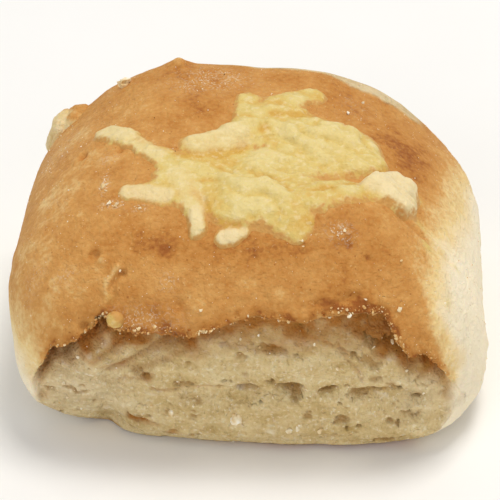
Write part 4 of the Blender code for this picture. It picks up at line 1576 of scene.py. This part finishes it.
@dataclass
class Cheese:
    """The melted cheese: a sheet cut to its outline, laid on the bun and thickened."""

    finish: CheeseFinish = CheeseFinish()
    # Runs in millimetres: start x, start y, end x, end y, radius, thickness.
    runs: Rows = table(
        main_pool=(4.5, -12, 10, -4, 8.6, 1.2),
        back_pool=(9.5, 0, 17, -0.5, 6.2, 1.2),
        left_bulge=(-0.5, -16.5, 4.5, -17.5, 5.4, 1.2),
        right_lobe=(15, -6.5, 20.5, -4.5, 3.9, 1.4),
        right_lump=(23.2, -12.2, 25.2, -9.6, 4.3, 2.2),
        right_lump_foot=(24, -14, 25.8, -13.8, 3.3, 2),
        right_lump_side=(21.2, -13.4, 22.8, -12.8, 2.9, 1.8),
        right_flow=(11.8, -18.2, 17.6, -15.4, 5, 0.6),
        left_field=(-11, -16.5, -5, -16.5, 5, 0.3),
        front_field=(-1, -20, 7, -21, 5.4, 0.8),
        front_corner=(7.5, -23.2, 10.2, -24.8, 2.7, 0.2),
        strand_bed=(-8.6, -11.2, -1.1, -8, 4.2, 0.25),
        back_strand=(-8.4, -5.4, -2, -2.4, 3.1, 0.75),
        back_strand_root=(-2.5, -1.6, 3, 1, 3.4, 0.9),
        back_arm=(-0.8, 1.5, -0.8, 8.6, 2.6, 0.4),
        arm_root=(2, 3, 6.5, 4.5, 4.2, 0.6),
        back_right_arm=(4, 8.5, 10, 12.4, 2.9, 0.4),
        ribbon_end=(-24.4, 0, -20.5, -3, 2.5, 0.35),
        ribbon=(-19.5, -4.3, -14.5, -9, 2.2, 0.2),
        ribbon_root=(-13.5, -9.4, -10.6, -13.8, 2.7, 0.3),
        ribbon_foot=(-10.4, -14.4, -7, -20.6, 2.5, 0.35),
        left_dab=(-18.4, -18.3, -12, -19.2, 1.9, 0.1),
        left_drip=(-6.6, -22.4, -6.2, -25.4, 1.7, 0.55),
        front_blob=(-1.7, -26.6, -0.3, -26.4, 1.65, 0.6),
        front_blob_tip=(0.4, -26.2, 1.5, -25.8, 1, 0.25),
    )
    # Creases between the lumps: corners in plan in millimetres.
    creases: dict[str, list[Line]] = table(
        under_strand=[(-11.5, -9), (-6, -8.4), (-0.6, -4.5), (2.4, 0.5)],
        left_of_pool=[(-7.2, -18.2), (-4.4, -23.4), (-1.3, -24.8), (4, -23.6)],
        beside_lump=[
            (12.5, -18), (16.5, -16.2), (19.2, -12.9), (20.6, -9), (23.6, -6)
        ],
        across_pool=[(1.5, -13), (6.5, -15.5), (9, -19)],
        back_of_pool=[(4, 4.2), (9, 5.6), (15, 5.2)],
    )
    crease: float = 0.6 * MM
    crease_reach: float = 0.8
    # Runs that stayed pale and cloudy, as unmelted shreds do, and how far.
    pale_runs: dict[str, float] = table(
        right_lump=0.85,
        right_lump_foot=0.85,
        right_lump_side=0.7,
        back_strand=0.4,
        ribbon_end=0.45,
        left_drip=0.6,
        front_blob=0.8,
        front_blob_tip=0.6,
        ribbon=0.35,
        ribbon_foot=0.25,
        left_dab=0.6,
    )
    reach: float = 31.0 * MM
    step: float = 0.3 * MM
    sunk: float = 0.35 * MM
    outline: float = 0.22
    # How far past the outline the sheet is cut, and how high it lies at first.
    brink: float = 0.06
    above: float = 0.09
    ragged: Noise = Noise(0.14, 4.5, 41)
    fringe: Noise = Noise(0.2, 1.4, 45)
    most: float = 5.0 * MM
    melt: int = 5
    rim: float = 0.12 * MM
    # A run's crown, the sheet's inside and its browned edge, by how well it is covered.
    crown: Line = (-0.1, 0.95)
    inside: float = 0.45
    edge_reach: float = 0.7
    pale_full: float = 0.7
    # Thickness over which lumps and creases grow from a small share to their full height.
    grown: Line = (0.2 * MM, 1.3 * MM)
    least_grown: float = 0.3
    rough: Noise = Noise(0.25, 4.0, 43)
    crease_bend: Noise = Noise(0.8, 3.0, 58)
    large_lumps: Noise = Noise(1.5, 4.4, 48, 2)
    small_lumps: Noise = Noise(0.5, 1.848, 53, 2)
    lumps: float = 0.9 * MM
    lumps_middle: float = 0.25
    bubbles: Noise = Noise(0.2 * MM, 1.0, 47, 2)
    skin: float = 0.35 * MM
    # Depth of colour: the thickness at which it is none and full, then its shares for the
    # thickness, for lumps painted paler as highlight and for creases painted deeper as shade.
    deep: Line = (-0.1 * MM, 1.7 * MM)
    deep_share: float = 0.45
    lumps_painted_paler: float = 0.55
    creases_painted_deeper: float = 0.45

    def run_weight(self, x: Array, y: Array, run: Line) -> Array:
        """How strongly one run covers each place in plan, from 0 to 1."""
        start_x, start_y, end_x, end_y, radius, _ = run
        away = away_from_line(x / MM, y / MM, (start_x, start_y), (end_x, end_y))
        spread = 1.0 - self.outline**0.5
        return np.clip(1.0 - spread * (away / radius) ** 2, 0.0, 1.0) ** 2

    def cover(self, x: Array, y: Array) -> Array:
        """How far the cheese covers each place: its edge is at `outline`."""
        bare = np.ones_like(x)
        for run in self.runs.values():
            bare *= 1.0 - self.run_weight(x, y, run)
        flat = lying(x, y)
        return 1.0 - bare + self.ragged.at(flat) + self.fringe.at(flat)

    def creased(self, x: Array, y: Array) -> Array:
        """How near each place in plan lies to a crease, from 0 to 1."""
        bend = self.crease_bend.at(lying(x, y))
        nearest = np.full_like(x, np.inf)
        for corners in self.creases.values():
            for start, end in itertools.pairwise(corners):
                away = away_from_line(x / MM + bend, y / MM - bend, start, end)
                nearest = np.minimum(nearest, away)
        return bell(nearest, 0, self.crease_reach)

    def lumpy(self, x: Array, y: Array) -> Array:
        """Relief of the shreds that melted together: round lumps with creases between.

        Args:
            x: Places in plan.
            y: Places in plan.

        Returns:
            The relief as a share from about 0, in the creases, to 1.
        """
        flat = lying(0.8 * x + 0.3 * y, y)
        lumps = np.abs(self.large_lumps.at(flat)) + np.abs(self.small_lumps.at(flat))
        return np.clip(lumps, 0, 1)

    def thickness(self, x: Array, y: Array) -> Array:
        """Thickness of the cheese above the bun at each place in plan.

        Args:
            x: Places in plan.
            y: Places in plan.

        Returns:
            The thickness in metres, a little below zero at the very edge.
        """
        total = np.zeros_like(x)
        low, high = self.crown
        for run in self.runs.values():
            crown = smooth_step(self.outline + low, high, self.run_weight(x, y, run))
            total += (run[5] * MM * crown) ** self.melt
        flat = lying(x, y)
        body = total ** (1 / self.melt) * (1.0 + self.rough.at(flat))
        inside = smooth_step(self.outline, self.outline + self.inside, self.cover(x, y))
        grown = smooth_step(*self.grown, body)
        grown = self.least_grown + (1 - self.least_grown) * grown
        lumps = self.lumps * grown * (self.lumpy(x, y) - self.lumps_middle)
        dips = self.crease * grown * self.creased(x, y)
        return body + inside * (self.skin + lumps + self.bubbles.at(flat) - dips) - self.rim

    def sheet(self) -> tuple[Array, Array]:
        """The flat sheet: its points, and the corners of its quads."""
        cells = round(2 * self.reach / self.step)
        levels = np.linspace(-self.reach, self.reach, cells + 1)
        x, y = np.meshgrid(levels, levels, indexing="ij")
        quads = quads_of_grid(np.arange(x.size).reshape(x.shape))
        points = np.column_stack((x.ravel(), y.ravel(), np.full(x.size, self.above)))
        middle = points[quads].mean(axis=1)
        quads = quads[self.cover(*middle.T[:2]) > self.outline - self.brink]
        used, where = np.unique(quads, return_inverse=True)
        return points[used], where.reshape(-1, 4)

    def tidy_sheet(self, mesh: bpy.types.Mesh) -> None:
        """Removes the places where the sheet only touches itself at a corner."""
        work = bmesh.new()
        work.from_mesh(mesh)
        pinched = [v for v in work.verts if sum(e.is_boundary for e in v.link_edges) > 2]
        bmesh.ops.delete(work, geom=pinched, context="VERTS")
        loose = [v for v in work.verts if not v.link_faces]
        bmesh.ops.delete(work, geom=loose, context="VERTS")
        work.to_mesh(mesh)
        work.free()

    def build(self, bun: bpy.types.Object) -> bpy.types.Object:
        """Builds the cheese's piece.

        Args:
            bun: The piece that it lies on.

        Returns:
            The finished object.
        """
        mesh = mesh_from("melted_cheese_top", *self.sheet())
        self.tidy_sheet(mesh)
        places = points_of(mesh)
        x, y = places[:, 0], places[:, 1]
        thick = self.thickness(x, y)
        thing = add_object("cheese", mesh)
        weights = thing.vertex_groups.new(name="thickness")
        for index, share in enumerate(np.clip((thick + self.sunk) / self.most, 0.01, 1)):
            weights.add([index], share, "REPLACE")
        # Thick cheese is paler; lumps are painted paler still as highlight, creases deeper as
        # shade.
        depth = self.deep_share * smooth_step(*self.deep, thick)
        depth += self.lumps_painted_paler * self.lumpy(x, y) - self.creases_painted_deeper * self.creased(x, y)
        write_field(mesh, "depth", np.clip(depth, 0, 1))
        ends = (self.outline - self.brink, self.outline + self.edge_reach)
        write_field(mesh, "edge", 1.0 - smooth_step(*ends, self.cover(x, y)))
        pale = np.zeros_like(x)
        for name, share in self.pale_runs.items():
            weight = self.run_weight(x, y, self.runs[name])
            weight = smooth_step(self.outline, self.pale_full, weight)
            pale = np.maximum(pale, share * weight)
        write_field(mesh, "pale", pale)
        laid = thing.modifiers.new("laid_on_bun", "SHRINKWRAP")
        laid.target = bun
        laid.wrap_method = "PROJECT"
        laid.use_project_z = True
        laid.use_negative_direction = True
        laid.use_positive_direction = False
        laid.wrap_mode = "ABOVE_SURFACE"
        laid.offset = -self.sunk
        solid = thing.modifiers.new("thickened", "SOLIDIFY")
        solid.thickness = self.most
        solid.offset = 1.0
        solid.vertex_group = weights.name
        applied(thing)
        thing.data.materials.clear()
        thing.data.materials.append(self.finish.make())
        thing.data.shade_smooth()
        return thing


@dataclass
class CheeseBead:
    """The bead of cheese that oozed out and set on the lip."""

    finish: CheeseFinish = CheeseFinish()
    centre: Line = (-18.4, -36.8, 26.9)
    radius: float = 1.35
    uneven: Noise = Noise(0.2, 1.6, 57)
    depth: float = 0.35
    # How browned it is all over and how much more toward the crust, the way to the crust,
    # and where along that way the browning begins and is full.
    edge: Line = (0.3, 0.6)
    edge_way: Line = (0.6, 0.2, 0.75)
    edge_from: Line = (0.1, 0.9)
    cuts: int = 5

    def build(self) -> bpy.types.Object:
        """Builds the bead's piece.

        Returns:
            The finished object.
        """
        points, faces = ball(self.cuts)
        radius = self.radius * MM
        swell = 1.0 + self.uneven.at(points * radius)
        mesh = mesh_from("cheese_bead", points * swell[:, None] * radius, faces)
        mesh.transform(Matrix.Translation(Vector(self.centre) * MM))
        write_field(mesh, "depth", np.full(len(points), self.depth))
        toward_crust = smooth_step(*self.edge_from, points @ np.array(self.edge_way))
        write_field(mesh, "edge", self.edge[0] + self.edge[1] * toward_crust)
        mesh.materials.append(self.finish.make())
        return add_object("cheese_bead", mesh)


# ---------------------------------------------------------------- loose bits


@dataclass
class TornCorner:
    """The torn corner of the next bun, left hanging at the back left."""

    finish: BunFinish = BunFinish()
    centre: Line = (-33.2, 18.4, 28.2)
    # Lumps in millimetres: centre x, y and z, then half sizes along X, Y and Z.
    lumps: Rows = table(
        low=(-34.6, 18.5, 25.4, 3.4, 5, 6.4),
        high=(-31.6, 18, 29.6, 3.3, 4.5, 4),
    )
    relief: float = 0.75 * MM
    rough: Noise = Noise(1.0, 2.6, 63, 4)
    # The cap of crust: its levels in millimetres, how far they waver, how it faces up.
    cap_level: Line = (31.2, 32.8)
    cap_wander: float = 1.2
    cap_facing: Line = (0.2, 0.6)
    # Shares of its looks, and the noise where its pale rims, painted on its lumps as
    # highlight, and the painted shade of its hollows begin.
    torn: float = 0.5
    baked: float = 0.2
    cap_baked: float = 0.35
    pale_rims_and_highlight: float = 0.6
    rims_from: Line = (0.0, 0.5)
    stained: float = 0.1
    shaded_hollows: float = 0.4
    hollows: Line = (-0.1, -0.6)
    cuts: int = 6

    def build(self) -> bpy.types.Object:
        """Builds the corner's piece.

        Returns:
            The finished object.
        """
        way, faces = ball(self.cuts)
        middle = np.array(self.centre)
        reach = np.zeros(len(way))
        for lump in self.lumps.values():
            size = np.array(lump[3:])
            start = (middle - lump[:3]) / size
            step = way / size
            along, across = (step * start).sum(axis=1), (step**2).sum(axis=1)
            root = np.sqrt(along**2 - across * (start @ start - 1.0))
            reach = np.maximum(reach, (root - along) / across)
        points = (middle + way * reach[:, None]) * MM
        rough = self.rough.at(points)
        points = points + way * (self.relief * rough)[:, None]
        mesh = mesh_from("torn_corner", points, faces)
        level = points[:, 2] / MM + self.cap_wander * rough
        cap = smooth_step(*self.cap_level, level) * smooth_step(*self.cap_facing, way[:, 2])
        # Its lumps are painted pale as highlight, and its hollows are darkened as painted shade.
        fields = {
            "torn": self.torn * (1.0 - cap),
            "baked": self.baked + self.cap_baked * cap,
            "rim": self.pale_rims_and_highlight * smooth_step(*self.rims_from, rough),
            "stain": self.stained + self.shaded_hollows * smooth_step(*self.hollows, rough),
        }
        for name, values in fields.items():
            write_field(mesh, name, values)
        mesh.materials.append(self.finish.make())
        return add_object("torn_corner", mesh)


@dataclass
class Grains:
    """Loose grains of one kind, set on their places by Geometry Nodes."""

    name: str
    finish: GrainFinish
    ragged: float = 1.1
    lump_width: float = 0.35 * MM
    cuts: int = 2
    slimmest: float = 0.25
    widest: float = 1.35
    seed: int = 3

    def tree(self) -> tuple[bpy.types.NodeTree, dict[str, str]]:
        """Makes the tree that sets a ragged grain on each point.

        Returns:
            The tree, and the identifier of each of its inputs by name.
        """
        tree = bpy.data.node_groups.new(self.name, "GeometryNodeTree")
        sockets = {
            "Places": "NodeSocketGeometry",
            "Ragged": "NodeSocketFloat",
            "Lump width": "NodeSocketFloat",
            "Seed": "NodeSocketInt",
        }
        names = {}
        for name, kind in sockets.items():
            socket = tree.interface.new_socket(name, in_out="INPUT", socket_type=kind)
            names[name] = socket.identifier
        tree.interface.new_socket("Grains", in_out="OUTPUT", socket_type="NodeSocketGeometry")
        add = partial(add_node, tree)
        start = add("NodeGroupInput").outputs
        grain = add("GeometryNodeMeshIcoSphere", Radius=0.5, i1=self.cuts)
        random, vector = "FunctionNodeRandomValue", {"data_type": "FLOAT_VECTOR"}
        turn = add(random, vector, i1=(math.tau,) * 3, Seed=start["Seed"])
        sizes = {"i0": (self.slimmest,) * 3, "i1": (self.widest,) * 3}
        shape = add(random, vector, **sizes, Seed=start["Seed"])
        width = add("GeometryNodeInputNamedAttribute", {"data_type": "FLOAT"}, Name="width")
        vectors, scaled = "ShaderNodeVectorMath", {"operation": "SCALE"}
        size = add(vectors, scaled, i0=shape, Scale=width.outputs[0])
        on_points = "GeometryNodeInstanceOnPoints"
        placed = add(on_points, Points=start["Places"], Instance=grain, Rotation=turn, Scale=size)
        real = add("GeometryNodeRealizeInstances", i0=placed)
        numbers, divided = "ShaderNodeMath", {"operation": "DIVIDE"}
        spacing = add(numbers, divided, i0=1.0, i1=start["Lump width"])
        noise = add("ShaderNodeTexNoise", Scale=spacing).outputs[1]
        push = add(vectors, {"operation": "SUBTRACT"}, i0=noise, i1=(0.5, 0.5, 0.5))
        amount = add(numbers, {"operation": "MULTIPLY"}, i0=width, i1=start["Ragged"])
        offset = add(vectors, scaled, i0=push, Scale=amount)
        ragged = add("GeometryNodeSetPosition", Geometry=real, Offset=offset)
        finish = self.finish.make()
        dressed = add("GeometryNodeSetMaterial", Geometry=ragged, Material=finish)
        add("NodeGroupOutput", i0=dressed)
        return tree, names

    def build(self, places: Array, widths: Array) -> bpy.types.Object:
        """Builds the piece that holds all grains of this kind.

        Args:
            places: Where the grains lie, one row for each.
            widths: How wide each of them is.

        Returns:
            The finished object.
        """
        mesh = bpy.data.meshes.new(self.name)
        mesh.from_pydata(places.tolist(), [], [])
        write_field(mesh, "width", widths)
        thing = add_object(self.name, mesh)
        tree, names = self.tree()
        scattered = thing.modifiers.new("scattered", "NODES")
        scattered.node_group = tree
        scattered[names["Ragged"]] = self.ragged
        scattered[names["Lump width"]] = self.lump_width
        scattered[names["Seed"]] = self.seed
        return applied(thing)


@dataclass(frozen=True)
class Sowing:
    """How many grains fall on one part of the bun, and how wide they are."""

    count: int
    least: float
    most: float
    raised: float = 0.2


@dataclass
class Scatter:
    """Crumbs and flour that lie on the bun: some in given places, the rest at random."""

    bun: Bun
    # Crumbs in given places, in millimetres: x, y, z, width.
    crumbs: Rows = table(
        lobe_flake=(17.6, -25, 38.3, 0.65),
        lobe_flake_tip=(16.6, -25.9, 38, 0.55),
        lobe_flake_end=(17.2, -25.6, 38.1, 0.5),
        shoulder_flake=(27.1, -32.6, 28.8, 0.7),
        shoulder_flake_low=(28, -33, 26.4, 0.6),
        lip_flake=(19.2, -35.3, 28.9, 0.7),
        lip_curl=(21.6, -33.2, 30.9, 0.55),
        dimple_bit=(-4.6, -35.9, 29.1, 0.55),
        knot_bit=(-18.1, -31.6, 32.9, 0.4),
        cheese_tip=(10.8, -27, 37.4, 0.65),
        cheese_tip_low=(11.2, -27.9, 36.9, 0.5),
        side_bit=(27, -26.6, 34.2, 0.6),
        behind_cheese=(18.6, 15.4, 38.6, 0.8),
        behind_cheese_left=(16.3, 9.7, 39.8, 0.6),
        lip_middle=(3, -36.1, 28.5, 0.6),
        back_nub=(-23.6, 17.4, 39.2, 2.3),
        left_streak=(-22.4, -14.6, 39.3, 0.9),
        left_streak_low=(-22.7, -16.4, 39.1, 0.8),
        left_streak_end=(-22, -17.6, 39, 0.6),
        dab_streak=(-21.2, -20.4, 38.6, 0.9),
        dab_streak_right=(-19.9, -20.9, 38.6, 0.7),
        under_dab=(-16, -21.6, 38.5, 0.7),
    )
    # Pale bits that hang on the torn face, in millimetres: x, z, width.
    torn_bits: Rows = table(
        low=(9.9, 5, 1.2),
        low_beside=(11.2, 5.4, 0.8),
        low_right=(14.7, 4.9, 0.9),
        left=(-9.6, 7.6, 1.3),
        left_high=(-8.4, 9.6, 0.9),
        round=(1, 7.4, 2.4),
        patch=(27.5, 23.2, 1.1),
        patch_left=(26.2, 21.2, 0.9),
        patch_right=(28.6, 22.9, 0.9),
        patch_far=(31.8, 21.2, 0.8),
        under_lip=(13.6, 22.6, 0.7),
        middle=(17.3, 17.7, 0.7),
        foot=(-5.2, 3.4, 0.9),
        foot_left=(-8.2, 4.6, 0.7),
    )
    # Tiny burnt specks, in millimetres: x, y, z, width.
    specks: Rows = table(
        over_ribbon=(-16.4, 2.1, 41.6, 0.32),
        beside_ribbon=(-11.7, -7.9, 41.3, 0.3),
        on_foot=(-9.1, -18.4, 40.3, 0.32),
        on_pool=(-0.2, -19.7, 40.2, 0.36),
        behind_strand=(-5.8, 16.4, 42.5, 0.3),
        on_arm=(1.5, 4.6, 42.2, 0.36),
    )
    lip: Sowing = Sowing(900, 0.14, 0.6, 0.2)
    torn: Sowing = Sowing(220, 0.15, 0.6)
    side: Sowing = Sowing(160, 0.15, 0.45, 0.1)
    flour: Sowing = Sowing(2200, 0.10, 0.26, 0.1)
    seed: int = 7
    # Where grains fall, in millimetres: on the front, along the lip between its ends, and
    # on the pale side above the base. Then the patches in which they lie.
    front_from: Line = (-24.0, -30.0)
    by_lip: Line = (0.1, 0.5)
    lip_left: Line = (-33.5, -31.5)
    lip_right: Line = (35.5, 33.5)
    side_from: Line = (30.0, 37.0)
    side_above: Line = (3.0, 8.0)
    patchy: Noise = Noise(1.0, 5.0, 73, 2)
    patchy_from: Line = (-0.3, 0.5)
    between_patches: float = 0.35
    # Flour gathers where the crust is floury, and a little lies everywhere else.
    gathers: float = 1.5
    thin_flour: float = 0.04

    def sow(self, weight: Array, sowing: Sowing, dice: Any) -> tuple[Array, Array]:
        """Throws grains at random places of the bun.

        Args:
            weight: How likely a grain is to fall at each of the bun's points.
            sowing: How many grains there are, and how wide.
            dice: Where the random numbers come from.

        Returns:
            Their places, one row for each, and their widths.
        """
        corner = self.bun.points[self.bun.quads]
        across = upright_on(self.bun.points, self.bun.quads)
        area = np.linalg.norm(across, axis=1)
        chance = area * weight[self.bun.quads].mean(axis=1)
        faces = dice.choice(len(chance), sowing.count, p=chance / chance.sum())
        u, v = dice.random((2, sowing.count, 1))
        quad = corner[faces]
        near = (1 - u) * quad[:, 0] + u * quad[:, 1]
        far = (1 - u) * quad[:, 3] + u * quad[:, 2]
        spread = dice.random(sowing.count) ** 3
        widths = (sowing.least + (sowing.most - sowing.least) * spread) * MM
        outward = across[faces] / area[faces][:, None]
        lifted = outward * (sowing.raised * widths)[:, None]
        return (1 - v) * near + v * far + lifted, widths

    def on_torn_face(self) -> tuple[Array, Array]:
        """Places and widths of the bits on the torn face, set on its surface."""
        bits = np.array(list(self.torn_bits.values())) * MM
        points = self.bun.points[(self.bun.points[:, 1] < 0) & (self.bun.fields["torn"] > 0.5)]
        places = []
        for x, z, _ in bits:
            places.append(points[np.hypot(points[:, 0] - x, points[:, 2] - z).argmin()])
        return np.array(places), bits[:, 2]

    def build(self) -> list[bpy.types.Object]:
        """Builds the pieces of crumbs, flour and specks.

        Returns:
            The finished objects.
        """
        bun, dice = self.bun, np.random.default_rng(self.seed)
        x, y, z = bun.points.T / MM
        torn = bun.fields["torn"]
        front = smooth_step(*self.front_from, y)
        patches = smooth_step(*self.patchy_from, self.patchy.at(bun.points))
        patches += self.between_patches
        toasted = GrainFinish("toasted_crumbs", ("#a8642a", "#c98d49", "#deb577", "#eed9ab"), 1.6)
        near_lip = front * patches * bell(bun.over_lip / MM, *self.by_lip)
        near_lip *= smooth_step(*self.lip_left, x) * smooth_step(*self.lip_right, x)
        crumbs = Grains("crumbs", toasted).build(*self.sow(near_lip, self.lip, dice))
        pale = GrainFinish("pale_crumbs", ("#dfc08a", "#f0dfb9", "#faf3e2"), 1.6)
        named = np.array(list(self.crumbs.values())) * MM
        on_side = smooth_step(*self.side_from, x) * smooth_step(*self.side_above, z)
        sown = [
            self.sow(torn * front, self.torn, dice),
            self.sow(on_side, self.side, dice),
            (named[:, :3], named[:, 3]),
            self.on_torn_face(),
        ]
        flakes = Grains("pale_crumbs", pale).build(*map(np.concatenate, zip(*sown)))
        floury = bun.fields["flour"] ** self.gathers + self.thin_flour * (1 - torn)
        white = GrainFinish("wheat_flour", ("#ead9b4", "#f6efdd"), 1.0)
        grains = Grains("flour", white, cuts=1, ragged=0.4)
        flour = grains.build(*self.sow(floury, self.flour, dice))
        burnt = GrainFinish("burnt_specks", ("#4a3018", "#6a4622"), 1.0)
        specks = np.array(list(self.specks.values())) * MM
        dark = Grains("burnt_specks", burnt, cuts=1).build(specks[:, :3], specks[:, 3])
        return [crumbs, flakes, flour, dark]


# ---------------------------------------------------------------- the studio


@dataclass
class Studio:
    """A pale floor, soft light and the camera."""

    azimuth: float = 5.0
    elevation: float = 34.0
    distance: float = 0.42
    frame_width: float = 0.0875
    target: Line = (-0.001, -0.0003, 0.017)
    lit: Line = (0.0, 0.0, 0.02)
    sky: float = 0.56

    def camera(self) -> None:
        """Points the camera at the bun."""
        around = math.radians(self.azimuth)
        up = math.radians(self.elevation)
        back = Vector(
            (math.sin(around) * math.cos(up), -math.cos(around) * math.cos(up), math.sin(up))
        )
        data = bpy.data.cameras.new("camera")
        data.sensor_width = 36.0
        data.lens = data.sensor_width / self.frame_width * self.distance
        data.clip_start = 0.01
        place = Vector(self.target) + back * self.distance
        bpy.context.scene.camera = self.hang(data, place, -back)

    def hang(self, data: Any, place: Vector, aim: Vector) -> bpy.types.Object:
        """Links a camera or a lamp to the scene.

        Args:
            data: The camera or the lamp. The object takes its name.
            place: Where it hangs.
            aim: The direction that it faces.

        Returns:
            The object.
        """
        thing = bpy.data.objects.new(data.name, data)
        thing.location = place
        thing.rotation_mode = "QUATERNION"
        thing.rotation_quaternion = aim.to_track_quat("-Z", "Y")
        bpy.context.scene.collection.objects.link(thing)
        return thing

    def lamp(self, name: str, place: Line, size: float, power: float, colour: str) -> None:
        """Hangs a soft square lamp that faces the bun.

        Args:
            name: Its name.
            place: Where it hangs.
            size: Length of its sides.
            power: Its power in watts.
            colour: Its hex colour.
        """
        data = bpy.data.lights.new(name, "AREA")
        data.shape = "SQUARE"
        data.size = size
        data.energy = power
        data.color = linear(colour)[:3]
        self.hang(data, Vector(place), Vector(self.lit) - Vector(place))

    def floor(self) -> None:
        """Lays the pale floor."""
        bpy.ops.mesh.primitive_plane_add(size=6.0, location=(0, 0, 0))
        floor = bpy.context.object
        floor.name = "floor"
        palette = Palette("white_paper")
        shade = palette.ramp(palette.noise(40.0), [(0.0, "#f4f3f0"), (1.0, "#f8f7f5")])
        floor.data.materials.append(palette.close(Base_Color=shade, Roughness=0.9))

    def build(self) -> None:
        """Sets up camera, floor, lamps and the sky light."""
        self.camera()
        self.floor()
        self.lamp("key", (0.14, 0.14, 0.80), 0.30, 3.6, "#fffaf2")
        self.lamp("front_fill", (-0.30, -0.70, 0.40), 0.5, 1.3, "#ffffff")
        self.lamp("side_fill", (0.70, -0.35, 0.25), 0.5, 0.4, "#fff6e6")
        world = bpy.data.worlds.new("studio")
        world.use_nodes = True
        sky = world.node_tree.nodes["Background"].inputs
        sky[0].default_value = linear("#f6f8fb")
        sky[1].default_value = self.sky
        bpy.context.scene.world = world
        bpy.context.scene.view_settings.view_transform = "Standard"


class Slot(Enum):
    """The record's material slots."""

    BREAD = "bread"
    CHEESE = "cheese"


def ride(piece: bpy.types.Object, slot: Slot, *nodes: str) -> None:
    """Fixes a piece to the scone and hides the solids that it stands for.

    Args:
        piece: The finished piece.
        slot: Which of the record's materials it is made of. Not used.
        *nodes: The solids that it replaces.
    """
    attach(piece, "root")
    if nodes:
        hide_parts(*nodes)
    log.info("%s: %d faces", piece.name, len(piece.data.polygons))


def stand_over_origin(pieces: list[bpy.types.Object]) -> None:
    """Moves all pieces sideways together, to where the solids stand."""
    for piece in pieces:
        piece.data.transform(Matrix.Translation(TO_ORIGIN))


def main() -> None:
    """Builds the scone and its studio."""
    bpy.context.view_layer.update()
    Studio().build()
    form = Bun()
    bun = form.build()
    cheese = Cheese().build(bun)
    bead = CheeseBead().build()
    loose = [TornCorner(form.finish).build(), *Scatter(form).build()]
    stand_over_origin([bun, cheese, bead, *loose])
    ride(bun, Slot.BREAD, "scone_bread")
    ride(cheese, Slot.CHEESE, "melted_cheese")
    ride(bead, Slot.CHEESE)
    for piece in loose:
        ride(piece, Slot.BREAD)


if __name__ == "__main__":
    main()
